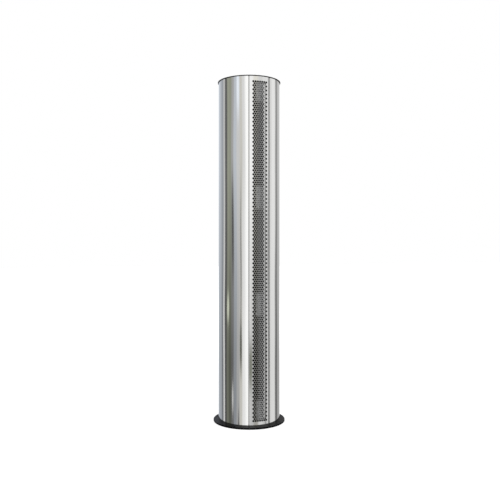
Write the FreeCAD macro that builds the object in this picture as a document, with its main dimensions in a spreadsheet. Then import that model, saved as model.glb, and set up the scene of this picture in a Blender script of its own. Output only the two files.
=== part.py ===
import FreeCAD
import Part
import Sketcher
import math
import os
import re

# Floor-standing column air curtain: a polished stainless tube on a round base plate, three
# cross-flow fans stacked inside, a perforated intake panel in front and three slot outlets
# with turning vanes behind. Millimetres, +Z up, origin at the centre of the base underside,
# intake towards -Y and outlet towards +Y.

V = FreeCAD.Vector

SIZES = {
    # column
    "casing_radius": 200,
    "casing_sheet": 1.5,
    "fan_count": 3,
    "base_bay": 156,
    "fan_bay": 530,
    "motor_bay": 146,
    "top_bay": 156,
    # base plate
    "base_radius": 232.5,
    "base_thick": 10,
    "base_rounding": 2,
    "anchor_diameter": 13,
    "anchor_circle": 432,
    "anchor_count": 4,
    "dowel_diameter": 6,
    "dowel_height": 8,
    "dowel_gap": 0.2,
    # lid
    "lid_overhang": 5,
    "lid_thick": 4,
    "lid_rounding": 1,
    "lid_ring_radius": 125,
    "lid_ring_width": 10,
    "lid_ring_height": 6,
    "lid_screw_count": 4,
    # front and rear panels
    "panel_angle": 20,
    "panel_leg": 15,
    "panel_top_gap": 0.5,
    "panel_tab_lap": 14,
    "seam_gap": 2,
    "hole_pitch": 14.6,
    "hole_diameter": 11.2,
    "hole_margin": 31,
    "hole_columns": 7,
    # inner frame
    "post_width": 25,
    "post_wall": 2,
    "post_gap": 1,
    "plate_thick": 3,
    "plate_gap": 2,
    "tab_height": 25,
    "top_opening": 120,
    "wiring_diameter": 24,
    "wiring_offset": 95,
    # bay covers behind the intake panel
    "cover_sheet": 1.2,
    "cover_side_gap": 2,
    "cover_gap": 1,
    "cover_lap": 14,
    # cross-flow fan
    "rotor_radius": 90,
    "rotor_offset": 55,
    "rotor_end_gap": 15,
    "end_disc_thick": 2,
    "blade_count": 40,
    "blade_depth": 16,
    "blade_lean": 11,
    "blade_thick": 1.2,
    "blade_bend": 18,
    "ring_count": 2,
    "shaft_diameter": 12,
    "running_gap": 0.05,
    "hub_diameter": 50,
    "hub_flange_diameter": 62,
    "hub_flange_thick": 6,
    "hub_drop": 6,
    "shaft_recess": 2,
    # air duct round the fan
    "duct_sheet": 1.2,
    "scroll_gap": 25,
    "scroll_shift": 16,
    "tongue_gap": 6,
    "tongue_room": 28,
    "duct_lap": 12,
    # outlet nozzle and vanes
    "nozzle_width": 66,
    "nozzle_wall": 3,
    "nozzle_overlap": 20,
    "nozzle_lip": 1.5,
    "nozzle_screw_spread": 44,
    "window_gap": 0.5,
    "vane_chord": 40,
    "vane_thick": 6,
    "vane_tip": 1.2,
    "vane_spread": 33,
    "vane_setback": 26,
    "vane_end_gap": 1,
    "vane_pin_diameter": 5,
    "vane_pin_recess": 0.5,
    # motor
    "motor_diameter": 110,
    "motor_height": 100,
    "motor_wall": 5,
    "motor_flange_diameter": 136,
    "motor_flange_thick": 5,
    "motor_screw_circle": 122,
    "motor_screw_count": 4,
    "motor_opening": 30,
    "vent_width": 8,
    "vent_height": 14,
    "vent_count": 8,
    "stator_bore": 61,
    "stator_height": 44,
    "stator_fit": 0.05,
    "winding_height": 10,
    "winding_depth": 10,
    "air_gap": 0.5,
    # upper bearing
    "bearing_flange_diameter": 76,
    "bearing_flange_thick": 4,
    "bearing_boss_diameter": 40,
    "bearing_boss_drop": 11,
    "bearing_boss_rise": 12,
    "bearing_boss_gap": 0.5,
    "bearing_screw_circle": 58,
    "bearing_screw_count": 4,
    "stub_rise": 4,
    # electrical
    "cable_bore": 20,
    "grommet_wall": 4,
    "grommet_fit": 0.05,
    "grommet_lip": 5,
    "grommet_lip_thick": 3,
    "grommet_recess": 0.5,
    "box_length": 120,
    "box_width": 60,
    "box_height": 60,
    "box_wall": 2.5,
    "box_offset": 85,
    "box_lid_thick": 3,
    "box_gland": 20,
    "capacitor_diameter": 36,
    "capacitor_height": 70,
    "capacitor_cap_diameter": 24,
    "capacitor_cap_height": 10,
    "capacitor_across": 80,
    "capacitor_back": 20,
    # fasteners
    "screw_diameter": 5,
    "screw_length": 12,
    "screw_gap": 0.1,
    "head_diameter": 9.2,
    "head_height": 2.8,
    "head_rounding": 1,
    "socket_width": 3,
    "socket_depth": 1.6,
    "sunk_head_diameter": 10,
    "sunk_length": 16,
    # how far a cut runs past the face it goes through
    "overrun": 1,
}

LAYOUT = {
    # heights
    "module_pitch": "fan_bay + motor_bay",
    "casing_height": "base_bay + fan_count*fan_bay + (fan_count - 1)*motor_bay + top_bay",
    "casing_top": "base_thick + casing_height",
    "fan_floor": "base_thick + base_bay",
    "fan_ceiling": "fan_floor + fan_bay",
    "motor_plate_low": "fan_floor - plate_thick",
    "bearing_plate_top": "fan_ceiling + plate_thick",
    "top_plate_top": "casing_top - lid_ring_height",
    "top_plate_low": "top_plate_top - plate_thick",
    # panel edges, casing legs and posts in plan
    "casing_inner": "casing_radius - casing_sheet",
    "panel_edge_x": "casing_radius*sin(panel_angle)",
    "panel_edge_y": "casing_radius*cos(panel_angle)",
    "panel_back_y": "panel_edge_y - panel_leg",
    "leg_x": "panel_edge_x + seam_gap",
    "leg_y": "sqrt(casing_radius^2 - leg_x^2)",
    "post_x": "leg_x + casing_sheet",
    "leg_inner_y": "sqrt(casing_inner^2 - post_x^2)",
    "post_far_x": "post_x + post_width",
    "post_mid_x": "post_x + post_width/2",
    "post_far_y": "sqrt((casing_inner - post_gap)^2 - post_far_x^2)",
    "post_face_y": "post_far_y - post_width",
    "post_mid_y": "post_far_y - post_width/2",
    "plate_radius": "casing_inner - plate_gap",
    "plate_edge_x": "sqrt(plate_radius^2 - post_face_y^2)",
    "screw_hole": "screw_diameter + 2*screw_gap",
    # perforation: one flat facet per hole column, rows of hole_columns and one fewer in turn
    "facet": "hole_pitch/casing_radius*180/pi",
    "row_step": "hole_pitch*sqrt(3)",
    "long_rows": "floor((casing_height - 2*hole_margin)/row_step) + 1",
    "first_row": "base_thick + (casing_height - (long_rows - 1)*row_step)/2",
    "tab_angle": "facet*(hole_columns/2 - 1)",
    "tab_radius": "casing_radius - casing_sheet/2",
    "tab_edge_x": "tab_radius*sin(tab_angle)",
    "tab_edge_y": "tab_radius*cos(tab_angle)",
    "tab_screw_x": "tab_edge_x - 2*screw_diameter",
    "tab_back_y": "post_face_y - panel_tab_lap",
    "tab_screw_y": "post_face_y - panel_tab_lap/2",
    "dowel_x": "tab_edge_x - 2*dowel_diameter",
    "dowel_y": "panel_edge_y - panel_leg/2",
    # bay covers
    "cover_x": "panel_edge_x - casing_sheet - cover_side_gap",
    "cover_front": "panel_back_y - cover_gap",
    "cover_back": "post_face_y - cover_lap",
    # nozzle and vanes
    "nozzle_x": "nozzle_width/2 + nozzle_wall",
    "nozzle_back": "post_face_y - nozzle_overlap",
    "nozzle_front": "sqrt(casing_radius^2 - nozzle_x^2) + nozzle_lip",
    "nozzle_screw_y": "post_face_y - nozzle_overlap/2",
    "vane_y": "casing_radius - vane_setback",
    "vane_low": "fan_floor + nozzle_wall + vane_end_gap",
    "vane_length": "fan_bay - 2*nozzle_wall - 2*vane_end_gap",
    "vane_pin_length": "vane_end_gap + nozzle_wall - vane_pin_recess",
    "vane_bulge": "(vane_thick - vane_tip)/2",
    "vane_bend": "(vane_chord^2/4 + vane_bulge^2)/(2*vane_bulge)",
    # scroll: a circle set back from the fan axis and a flat tangent to it
    "scroll_y": "scroll_shift - rotor_offset",
    "scroll_radius": "rotor_radius + scroll_gap",
    "scroll_outer": "scroll_radius + duct_sheet",
    "scroll_reach": "sqrt(nozzle_x^2 + (nozzle_back - scroll_y)^2)",
    "scroll_turn": "(90 deg + atan(nozzle_x/(nozzle_back - scroll_y))"
                   " + acos(scroll_radius/scroll_reach))/1 deg",
    "scroll_start_y": "scroll_y - sqrt(scroll_radius^2 - post_x^2)",
    "scroll_start_outer_y": "scroll_y - sqrt(scroll_outer^2 - (post_x + duct_sheet)^2)",
    "scroll_leave_x": "scroll_radius*cos(scroll_turn)",
    "scroll_leave_y": "scroll_y + scroll_radius*sin(scroll_turn)",
    "scroll_leave_outer_x": "scroll_outer*cos(scroll_turn)",
    "scroll_leave_outer_y": "scroll_y + scroll_outer*sin(scroll_turn)",
    "scroll_bend_outer_y": "scroll_leave_outer_y"
                           " + (nozzle_x + duct_sheet + scroll_leave_outer_x)/tan(scroll_turn)",
    # tongue: a flat tangent to a circle just outside the fan
    "tongue_radius": "rotor_radius + tongue_gap",
    "tongue_outer": "tongue_radius + duct_sheet",
    "tongue_reach": "sqrt(nozzle_x^2 + (nozzle_back + rotor_offset)^2)",
    "tongue_turn": "(90 deg - atan(nozzle_x/(nozzle_back + rotor_offset))"
                   " - acos(tongue_radius/tongue_reach))/1 deg",
    "tongue_tip_x": "tongue_radius*cos(tongue_turn)",
    "tongue_tip_y": "tongue_radius*sin(tongue_turn) - rotor_offset",
    "tongue_tip_outer_y": "tongue_tip_y + duct_sheet",
    "tongue_tip_outer_x": "(tongue_outer - (tongue_tip_outer_y + rotor_offset)*sin(tongue_turn))"
                          "/cos(tongue_turn)",
    "tongue_bend_outer_y": "(tongue_outer - (nozzle_x + duct_sheet)*cos(tongue_turn))"
                           "/sin(tongue_turn) - rotor_offset",
    "tongue_far_x": "rotor_radius + tongue_room",
    "tongue_lead_y": "tongue_far_x - post_x - post_face_y",
    "tongue_lead_outer_x": "post_x + duct_sheet*sqrt(2)",
    "tongue_lead_outer_y": "tongue_far_x + duct_sheet - tongue_lead_outer_x - post_face_y",
    "duct_end_y": "nozzle_back + duct_lap",
    # fan, motor and bearing along their common axis
    "shaft_radius": "shaft_diameter/2",
    "shaft_bore": "shaft_radius + running_gap",
    "disc_low": "fan_floor + rotor_end_gap",
    "disc_top": "disc_low + end_disc_thick",
    "blade_length": "fan_bay - 2*rotor_end_gap - 2*end_disc_thick",
    "upper_disc_low": "disc_top + blade_length",
    "upper_disc_top": "upper_disc_low + end_disc_thick",
    "blade_in": "rotor_radius - blade_depth",
    "blade_chord": "sqrt(blade_depth^2 + blade_lean^2)",
    "blade_wall": "sqrt((blade_bend + blade_thick)^2 - blade_chord^2/4)"
                  " - sqrt(blade_bend^2 - blade_chord^2/4)",
    "blade_slip": "blade_wall*blade_lean/blade_chord",
    "blade_rise": "blade_wall*blade_depth/blade_chord",
    "ring_step": "blade_length/(ring_count + 1)",
    "hub_radius": "hub_diameter/2",
    "hub_top": "disc_top + hub_flange_thick",
    "motor_radius": "motor_diameter/2",
    "motor_low": "motor_plate_low - motor_height",
    "motor_inner": "motor_radius - motor_wall",
    "motor_cavity_low": "motor_low + motor_wall",
    "motor_cavity_top": "motor_plate_low - motor_flange_thick",
    "motor_middle": "(motor_cavity_low + motor_cavity_top)/2",
    "stator_low": "motor_middle - stator_height/2",
    "stator_top": "motor_middle + stator_height/2",
    "stator_radius": "motor_inner - stator_fit",
    "winding_outer": "stator_radius - winding_depth/2",
    "winding_inner": "winding_outer - winding_depth",
    "core_radius": "stator_bore/2 - air_gap",
    "bearing_boss_radius": "bearing_boss_diameter/2",
    "bearing_low": "fan_ceiling - bearing_boss_drop + plate_thick",
    "bearing_flange_top": "bearing_plate_top + bearing_flange_thick",
    "bearing_top": "bearing_plate_top + bearing_boss_rise",
    "stub_length": "bearing_top + stub_rise - upper_disc_top",
    # electrical
    "grommet_radius": "cable_bore/2 + grommet_wall",
    "box_low": "base_thick",
    "capacitor_low": "motor_plate_low - capacitor_height",
    # lid
    "lid_radius": "casing_radius + lid_overhang",
    "lid_top": "casing_top + lid_thick",
    "sunk_depth": "(sunk_head_diameter - screw_diameter)/2",
    "drop_to_ring": "lid_thick + lid_ring_height",
}

doc = FreeCAD.newDocument("air_curtain")
sheet = doc.addObject("Spreadsheet::Sheet", "Sizes")
for row, (name, number) in enumerate(SIZES.items(), 1):
    sheet.set("A%d" % row, name)
    sheet.set("B%d" % row, str(number))
    sheet.setAlias("B%d" % row, name)
doc.recompute()


def formula(text):
    """Point every size and layout name in a formula at the object that holds it."""
    def owner(match):
        word = match.group(0)
        if word in SIZES:
            return "Sizes." + word
        if word in LAYOUT:
            return "Layout." + word
        return word
    return re.sub(r"[A-Za-z_][A-Za-z_0-9]*", owner, text)


layout = doc.addObject("App::VarSet", "Layout")
for name in LAYOUT:
    layout.addProperty("App::PropertyFloat", name, "Layout")
for name, text in LAYOUT.items():
    layout.setExpression(name, formula(text))
doc.recompute()


def value(text):
    """Number that a formula gives with the present sizes."""
    result = sheet.evalExpression(formula(text))
    return float(getattr(result, "Value", result))


def bind(thing, prop, text):
    """Drive a property from the sizes."""
    thing.setExpression(prop, formula(text))


FAN_COUNT = int(value("fan_count"))
PARTS = []


def keep(thing, label):
    """Name a finished sub-part and list it for export."""
    thing.Label = label
    PARTS.append(thing)
    return thing


def new_body(name):
    """Empty body."""
    return doc.addObject("PartDesign::Body", name)


def datum(body, role):
    """Plane or axis of a body's own origin."""
    for feature in body.Origin.OriginFeatures:
        if feature.Role == role:
            return feature
    raise RuntimeError("no datum " + role)


def new_sketch(body, role, height="0", across="0", back="0"):
    """Sketch on an origin plane, raised along its normal and shifted within it."""
    sketch = body.newObject("Sketcher::SketchObject", "Sketch")
    sketch.AttachmentSupport = [(datum(body, role), "")]
    sketch.MapMode = "FlatFace"
    bind(sketch, "AttachmentOffset.Base.x", across)
    bind(sketch, "AttachmentOffset.Base.y", back)
    bind(sketch, "AttachmentOffset.Base.z", height)
    return sketch


def outline(sketch, corners, arcs=None):
    """Closed outline through corners; an arc edge has a radius and its centre's side."""
    arcs = arcs or {}
    points = [V(value(x), value(y), 0) for x, y in corners]
    count = len(points)
    first = len(sketch.Geometry)
    edges = []
    ends = []
    for index, here in enumerate(points):
        there = points[(index + 1) % count]
        if index not in arcs:
            edges.append(Part.LineSegment(here, there))
            ends.append((1, 2))
            continue
        radius = value(arcs[index][0])
        side = arcs[index][1]
        chord = there - here
        lift = math.sqrt(max(radius**2 - chord.Length**2/4, 0))
        left = V(-chord.y, chord.x, 0)/chord.Length
        centre = (here + there)*0.5 + left*(lift*side)
        begin = math.atan2(here.y - centre.y, here.x - centre.x)
        end = math.atan2(there.y - centre.y, there.x - centre.x)
        circle = Part.Circle(centre, V(0, 0, 1), radius)
        if side > 0:
            edges.append(Part.ArcOfCircle(circle, begin, end))
            ends.append((1, 2))
        else:
            edges.append(Part.ArcOfCircle(circle, end, begin))
            ends.append((2, 1))
    sketch.addGeometry(edges, False)
    drive = []
    for index, point in enumerate(points):
        after = (index + 1) % count
        sketch.addConstraint(Sketcher.Constraint(
            "Coincident", first + index, ends[index][1], first + after, ends[after][0]))
        drive.append((sketch.addConstraint(Sketcher.Constraint(
            "DistanceX", -1, 1, first + index, ends[index][0], point.x)), corners[index][0]))
        drive.append((sketch.addConstraint(Sketcher.Constraint(
            "DistanceY", -1, 1, first + index, ends[index][0], point.y)), corners[index][1]))
    for index, (radius, side) in arcs.items():
        drive.append((sketch.addConstraint(Sketcher.Constraint(
            "Radius", first + index, value(radius))), radius))
    for number, text in drive:
        bind(sketch, "Constraints[%d]" % number, text)


def rectangle(sketch, left, right, low, high):
    """Upright rectangle."""
    outline(sketch, [(left, low), (right, low), (right, high), (left, high)])


def circle_at(sketch, across, up, diameter):
    """Circle with a driven centre and diameter."""
    centre = V(value(across), value(up), 0)
    number = sketch.addGeometry(
        Part.Circle(centre, V(0, 0, 1), value(diameter)/2), False)
    drive = (("DistanceX", across, centre.x), ("DistanceY", up, centre.y))
    for kind, text, start in drive:
        place = sketch.addConstraint(Sketcher.Constraint(kind, -1, 1, number, 3, start))
        bind(sketch, "Constraints[%d]" % place, text)
    size = sketch.addConstraint(Sketcher.Constraint("Diameter", number, value(diameter)))
    bind(sketch, "Constraints[%d]" % size, diameter)


def pad(body, sketch, length, down=False):
    """Pad along the sketch normal, or against it."""
    feature = body.newObject("PartDesign::Pad", "Pad")
    feature.Profile = sketch
    feature.Reversed = down
    bind(feature, "Length", length)
    body.Tip = feature
    return feature


def pocket(body, sketch, depth, forward=False):
    """Pocket against the sketch normal, or along it."""
    feature = body.newObject("PartDesign::Pocket", "Pocket")
    feature.Profile = sketch
    feature.Reversed = forward
    bind(feature, "Length", depth)
    body.Tip = feature
    return feature


def turn(body, sketch):
    """Revolution about the upright axis of the sketch."""
    feature = body.newObject("PartDesign::Revolution", "Revolution")
    feature.Profile = sketch
    feature.ReferenceAxis = (sketch, ["V_Axis"])
    feature.Angle = 360
    body.Tip = feature
    return feature


def around(body, feature, axis, count):
    """Full polar pattern of a feature."""
    pattern = body.newObject("PartDesign::PolarPattern", "PolarPattern")
    pattern.Originals = [feature]
    pattern.Axis = axis
    pattern.Angle = 360
    bind(pattern, "Occurrences", count)
    body.Tip = pattern
    return pattern


def upward(body, feature, length, count):
    """Linear pattern of a feature up the column."""
    pattern = body.newObject("PartDesign::LinearPattern", "LinearPattern")
    pattern.Originals = [feature]
    pattern.Direction = (datum(body, "Z_Axis"), [""])
    bind(pattern, "Length", length)
    bind(pattern, "Occurrences", count)
    body.Tip = pattern
    return pattern


def soften(body, feature, radius, chosen):
    """Round the edges of a feature that a test picks."""
    doc.recompute()
    names = []
    for number, edge in enumerate(feature.Shape.Edges, 1):
        if chosen(edge):
            names.append("Edge%d" % number)
    fillet = body.newObject("PartDesign::Fillet", "Fillet")
    fillet.Base = (feature, names)
    bind(fillet, "Radius", radius)
    body.Tip = fillet
    return fillet


def rim_at(height, radius):
    """Test for a full circular edge at a height with a radius."""
    def chosen(edge):
        curve = edge.Curve
        if not isinstance(curve, Part.Circle):
            return False
        near = abs(curve.Center.z - value(height)) < 1e-6
        return near and abs(curve.Radius - value(radius)) < 1e-6
    return chosen


def box(name, x, y, z, length, width, height):
    """Box from its lowest corner."""
    thing = doc.addObject("Part::Box", name)
    bind(thing, "Placement.Base.x", x)
    bind(thing, "Placement.Base.y", y)
    bind(thing, "Placement.Base.z", z)
    bind(thing, "Length", length)
    bind(thing, "Width", width)
    bind(thing, "Height", height)
    return thing


def rod(name, x, y, z, radius, height):
    """Upright cylinder."""
    thing = doc.addObject("Part::Cylinder", name)
    bind(thing, "Placement.Base.x", x)
    bind(thing, "Placement.Base.y", y)
    bind(thing, "Placement.Base.z", z)
    bind(thing, "Radius", radius)
    bind(thing, "Height", height)
    return thing


def cut(name, base, tools):
    """Base with every tool cut from it."""
    tool = tools[0]
    if len(tools) > 1:
        tool = doc.addObject("Part::MultiFuse", name + "_cuts")
        tool.Shapes = tools
    thing = doc.addObject("Part::Cut", name)
    thing.Base = base
    thing.Tool = tool
    return thing


def mirrored(source, label, normal):
    """Mirror image through the column axis."""
    thing = doc.addObject("Part::Mirroring", label)
    thing.Source = source
    thing.Base = V(0, 0, 0)
    thing.Normal = normal
    return keep(thing, label)


def repeated(source, label, across="0", up="0"):
    """The same piece again, shifted across and up."""
    thing = doc.addObject("Part::Compound", label)
    thing.Links = [source]
    bind(thing, "Placement.Base.x", across)
    bind(thing, "Placement.Base.z", up)
    return keep(thing, label)


def stacked(source, stem):
    """Name a piece of the lowest fan and repeat it for the fans above."""
    keep(source, stem + "_1")
    for level in range(1, FAN_COUNT):
        repeated(source, "%s_%d" % (stem, level + 1), up="%d*module_pitch" % level)


def fan_sketch(body, height="0"):
    """Sketch across the fan axis."""
    return new_sketch(body, "XY_Plane", height, back="-rotor_offset")


def fan_profile(body):
    """Sketch in an upright plane through the fan axis."""
    return new_sketch(body, "XZ_Plane", "rotor_offset")


# Heights of the screws that hold the casing legs, one in each bay.
LEG_HEIGHTS = ["base_thick + base_bay/2"]
for level in range(FAN_COUNT - 1):
    LEG_HEIGHTS.append("fan_ceiling + motor_bay/2 + %d*module_pitch" % level)
LEG_HEIGHTS.append("casing_top - top_bay/2")

# Heights of the tab screws of the shelf plates.
TAB_HEIGHTS = []
for level in range(FAN_COUNT):
    TAB_HEIGHTS.append("motor_plate_low - tab_height/2 + %d*module_pitch" % level)
    TAB_HEIGHTS.append("bearing_plate_top + tab_height/2 + %d*module_pitch" % level)
TAB_HEIGHTS.append("top_plate_low - tab_height/2")

SIGNS = ("", "-")

# Base plate: disc with anchor holes on the rim outside the casing, a cable hole in the middle
# and four dowels that locate the panel feet.
base = new_body("base_plate")
sketch = new_sketch(base, "XY_Plane")
circle_at(sketch, "0", "0", "2*base_radius")
disc = pad(base, sketch, "base_thick")
disc = soften(base, disc, "base_rounding", rim_at("base_thick", "base_radius"))
sketch = new_sketch(base, "XY_Plane", "base_thick")
circle_at(sketch, "0", "0", "2*grommet_radius")
pocket(base, sketch, "base_thick + overrun")
sketch = new_sketch(base, "XY_Plane", "base_thick")
circle_at(sketch, "anchor_circle/2*cos(45)", "anchor_circle/2*sin(45)", "anchor_diameter")
anchor = pocket(base, sketch, "base_thick + overrun")
around(base, anchor, (datum(base, "Z_Axis"), [""]), "anchor_count")
sketch = new_sketch(base, "XY_Plane", "base_thick")
for side in SIGNS:
    for end in SIGNS:
        circle_at(sketch, side + "dowel_x", end + "dowel_y", "dowel_diameter")
pad(base, sketch, "dowel_height")
keep(base, "base_plate")

# Corner posts: square tubes drilled for the casing legs and the shelf tabs.
post = new_body("post_front_right")
sketch = new_sketch(post, "XY_Plane", "base_thick")
rectangle(sketch, "post_x", "post_far_x", "-post_far_y", "-post_face_y")
rectangle(sketch, "post_x + post_wall", "post_far_x - post_wall",
          "post_wall - post_far_y", "-post_face_y - post_wall")
pad(post, sketch, "casing_height")
sketch = new_sketch(post, "YZ_Plane", "post_x")
for height in LEG_HEIGHTS:
    circle_at(sketch, "-post_mid_y", height, "screw_hole")
pocket(post, sketch, "post_wall + overrun", forward=True)
sketch = new_sketch(post, "XZ_Plane", "post_face_y")
for height in TAB_HEIGHTS:
    circle_at(sketch, "post_mid_x", height, "screw_hole")
pocket(post, sketch, "post_wall + overrun", forward=True)
keep(post, "post_front_right")
post_left = mirrored(post, "post_front_left", V(1, 0, 0))
mirrored(post, "post_rear_right", V(0, 1, 0))
mirrored(post_left, "post_rear_left", V(0, 1, 0))


def shelf(name, low, tabs_up, holes):
    """Shelf plate between the posts with four folded tabs and its holes."""
    body = new_body(name)
    sketch = new_sketch(body, "XY_Plane", low)
    outline(sketch, [("plate_edge_x", "-post_face_y"), ("plate_edge_x", "post_face_y"),
                     ("-plate_edge_x", "post_face_y"), ("-plate_edge_x", "-post_face_y")],
            {0: ("plate_radius", 1), 2: ("plate_radius", 1)})
    pad(body, sketch, "plate_thick")
    tab_low = low + " + plate_thick" if tabs_up else low
    tab_mid = tab_low + (" + tab_height/2" if tabs_up else " - tab_height/2")
    sketch = new_sketch(body, "XY_Plane", tab_low)
    for side in (("post_x", "post_far_x"), ("-post_far_x", "-post_x")):
        rectangle(sketch, side[0], side[1], "post_face_y - plate_thick", "post_face_y")
        rectangle(sketch, side[0], side[1], "-post_face_y", "plate_thick - post_face_y")
    pad(body, sketch, "tab_height", down=not tabs_up)
    sketch = new_sketch(body, "XZ_Plane", "post_face_y")
    for side in SIGNS:
        circle_at(sketch, side + "post_mid_x", tab_mid, "screw_hole")
    pocket(body, sketch, "2*post_face_y")
    sketch = new_sketch(body, "XY_Plane", low + " + plate_thick")
    for across, back, diameter in holes:
        circle_at(sketch, across, back, diameter)
    pocket(body, sketch, "plate_thick + overrun")
    return body


def ring_of(circle, count):
    """Screw places spread on a circle round the fan axis."""
    places = []
    for number in range(int(value(count))):
        angle = "(45 + %d*360/%s)" % (number, count)
        places.append(("%s/2*cos%s" % (circle, angle),
                       "%s/2*sin%s - rotor_offset" % (circle, angle)))
    return places


MOTOR_PLACES = ring_of("motor_screw_circle", "motor_screw_count")
BEARING_PLACES = ring_of("bearing_screw_circle", "bearing_screw_count")
NOZZLE_PLACES = [("nozzle_screw_spread/2", "nozzle_screw_y"),
                 ("-nozzle_screw_spread/2", "nozzle_screw_y")]
PANEL_PLACES = [(side + "tab_screw_x", end + "tab_screw_y") for side in SIGNS for end in SIGNS]
LID_PLACES = [("lid_ring_radius*cos(%d*360/lid_screw_count)" % number,
               "lid_ring_radius*sin(%d*360/lid_screw_count)" % number)
              for number in range(int(value("lid_screw_count")))]
WIRING = ("-wiring_offset", "wiring_offset/2", "wiring_diameter")


def drilled(places):
    """Screw holes at places."""
    return [(x, y, "screw_hole") for x, y in places]


# Shelf plates: one under and one over each fan, and one below the lid.
motor_plate = shelf("motor_plate_1", "motor_plate_low", False,
                    [("0", "-rotor_offset", "motor_opening"), WIRING]
                    + drilled(MOTOR_PLACES + NOZZLE_PLACES))
stacked(motor_plate, "motor_plate")
bearing_plate = shelf("bearing_plate_1", "fan_ceiling", True,
                      [("0", "-rotor_offset", "bearing_boss_diameter + 2*bearing_boss_gap"),
                       WIRING] + drilled(BEARING_PLACES + NOZZLE_PLACES))
stacked(bearing_plate, "bearing_plate")
top_plate = shelf("top_plate", "top_plate_low", False,
                  [("0", "0", "top_opening")] + drilled(PANEL_PLACES + LID_PLACES))
keep(top_plate, "top_plate")

# Lid: disc that overhangs the casing, with a ring below that stands on the top plate.
lid = new_body("top_cover")
sketch = new_sketch(lid, "XY_Plane", "casing_top")
circle_at(sketch, "0", "0", "2*lid_radius")
disc = pad(lid, sketch, "lid_thick")
soften(lid, disc, "lid_rounding", rim_at("lid_top", "lid_radius"))
sketch = new_sketch(lid, "XY_Plane", "casing_top")
circle_at(sketch, "0", "0", "2*lid_ring_radius + lid_ring_width")
circle_at(sketch, "0", "0", "2*lid_ring_radius - lid_ring_width")
pad(lid, sketch, "lid_ring_height", down=True)
sketch = new_sketch(lid, "XZ_Plane", "0", across="lid_ring_radius")
outline(sketch, [("0", "lid_top + overrun"),
                 ("sunk_head_diameter/2 + screw_gap", "lid_top + overrun"),
                 ("sunk_head_diameter/2 + screw_gap", "lid_top"),
                 ("screw_hole/2", "lid_top - sunk_depth"),
                 ("screw_hole/2", "top_plate_top - overrun"),
                 ("0", "top_plate_top - overrun")])
groove = lid.newObject("PartDesign::Groove", "Groove")
groove.Profile = sketch
groove.ReferenceAxis = (sketch, ["V_Axis"])
groove.Angle = 360
around(lid, groove, (datum(lid, "Z_Axis"), [""]), "lid_screw_count")
keep(lid, "top_cover")

# Casing halves: polished sheet with a leg folded in along each edge, flat on the posts.
casing = new_body("right_casing")
sketch = new_sketch(casing, "XY_Plane", "base_thick")
outline(sketch, [("leg_x", "-post_face_y"), ("leg_x", "-leg_y"), ("leg_x", "leg_y"),
                 ("leg_x", "post_face_y"), ("post_x", "post_face_y"), ("post_x", "leg_inner_y"),
                 ("post_x", "-leg_inner_y"), ("post_x", "-post_face_y")],
        {1: ("casing_radius", 1), 5: ("casing_inner", -1)})
pad(casing, sketch, "casing_height")
sketch = new_sketch(casing, "YZ_Plane", "post_x + overrun")
for height in LEG_HEIGHTS:
    for end in SIGNS:
        circle_at(sketch, end + "post_mid_y", height, "screw_hole")
pocket(casing, sketch, "casing_sheet + 2*overrun")
keep(casing, "right_casing")
mirrored(casing, "left_casing", V(1, 0, 0))

# Intake panel: sheet bent in flat facets, one hole column wide, with folded legs, a foot tab
# on the dowels and a top tab on the top plate; two grids of punches, one for the longer rows
# and one for those between, cut holes on a 60 degree grid.
intake = new_body("intake_blank")
half_columns = [number - value("hole_columns")/2 for number in range(SIZES["hole_columns"] + 1)]


def on_facets(radius, steps):
    """Corner of the bent sheet at a radius, some facets off the middle."""
    return ("%s*sin(%s*facet)" % (radius, steps), "-%s*cos(%s*facet)" % (radius, steps))


corners = [("-panel_edge_x", "-panel_back_y"), ("-panel_edge_x", "-panel_edge_y")]
corners += [on_facets("casing_radius", steps) for steps in half_columns]
corners += [("panel_edge_x", "-panel_edge_y"), ("panel_edge_x", "-panel_back_y"),
            ("panel_edge_x - casing_sheet", "-panel_back_y"),
            ("panel_edge_x - casing_sheet", "-casing_inner*cos(panel_angle)")]
corners += [on_facets("casing_inner", steps) for steps in reversed(half_columns)]
corners += [("casing_sheet - panel_edge_x", "-casing_inner*cos(panel_angle)"),
            ("casing_sheet - panel_edge_x", "-panel_back_y")]
sketch = new_sketch(intake, "XY_Plane", "base_thick")
outline(sketch, corners)
pad(intake, sketch, "casing_height - panel_top_gap")
front_tab = [on_facets("tab_radius", steps) for steps in half_columns[1:-1]]
for low, back, places, diameter in (
        ("base_thick", "panel_back_y", (("dowel_x", "-dowel_y"), ("-dowel_x", "-dowel_y")),
         "dowel_diameter + 2*dowel_gap"),
        ("top_plate_top", "tab_back_y",
         (("tab_screw_x", "-tab_screw_y"), ("-tab_screw_x", "-tab_screw_y")), "screw_hole")):
    sketch = new_sketch(intake, "XY_Plane", low)
    outline(sketch, front_tab + [("tab_edge_x", "-" + back), ("-tab_edge_x", "-" + back)])
    pad(intake, sketch, "casing_sheet")
    sketch = new_sketch(intake, "XY_Plane", low + " + casing_sheet")
    for across, up in places:
        circle_at(sketch, across, up, diameter)
    pocket(intake, sketch, "casing_sheet + overrun")
punches = []
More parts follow.
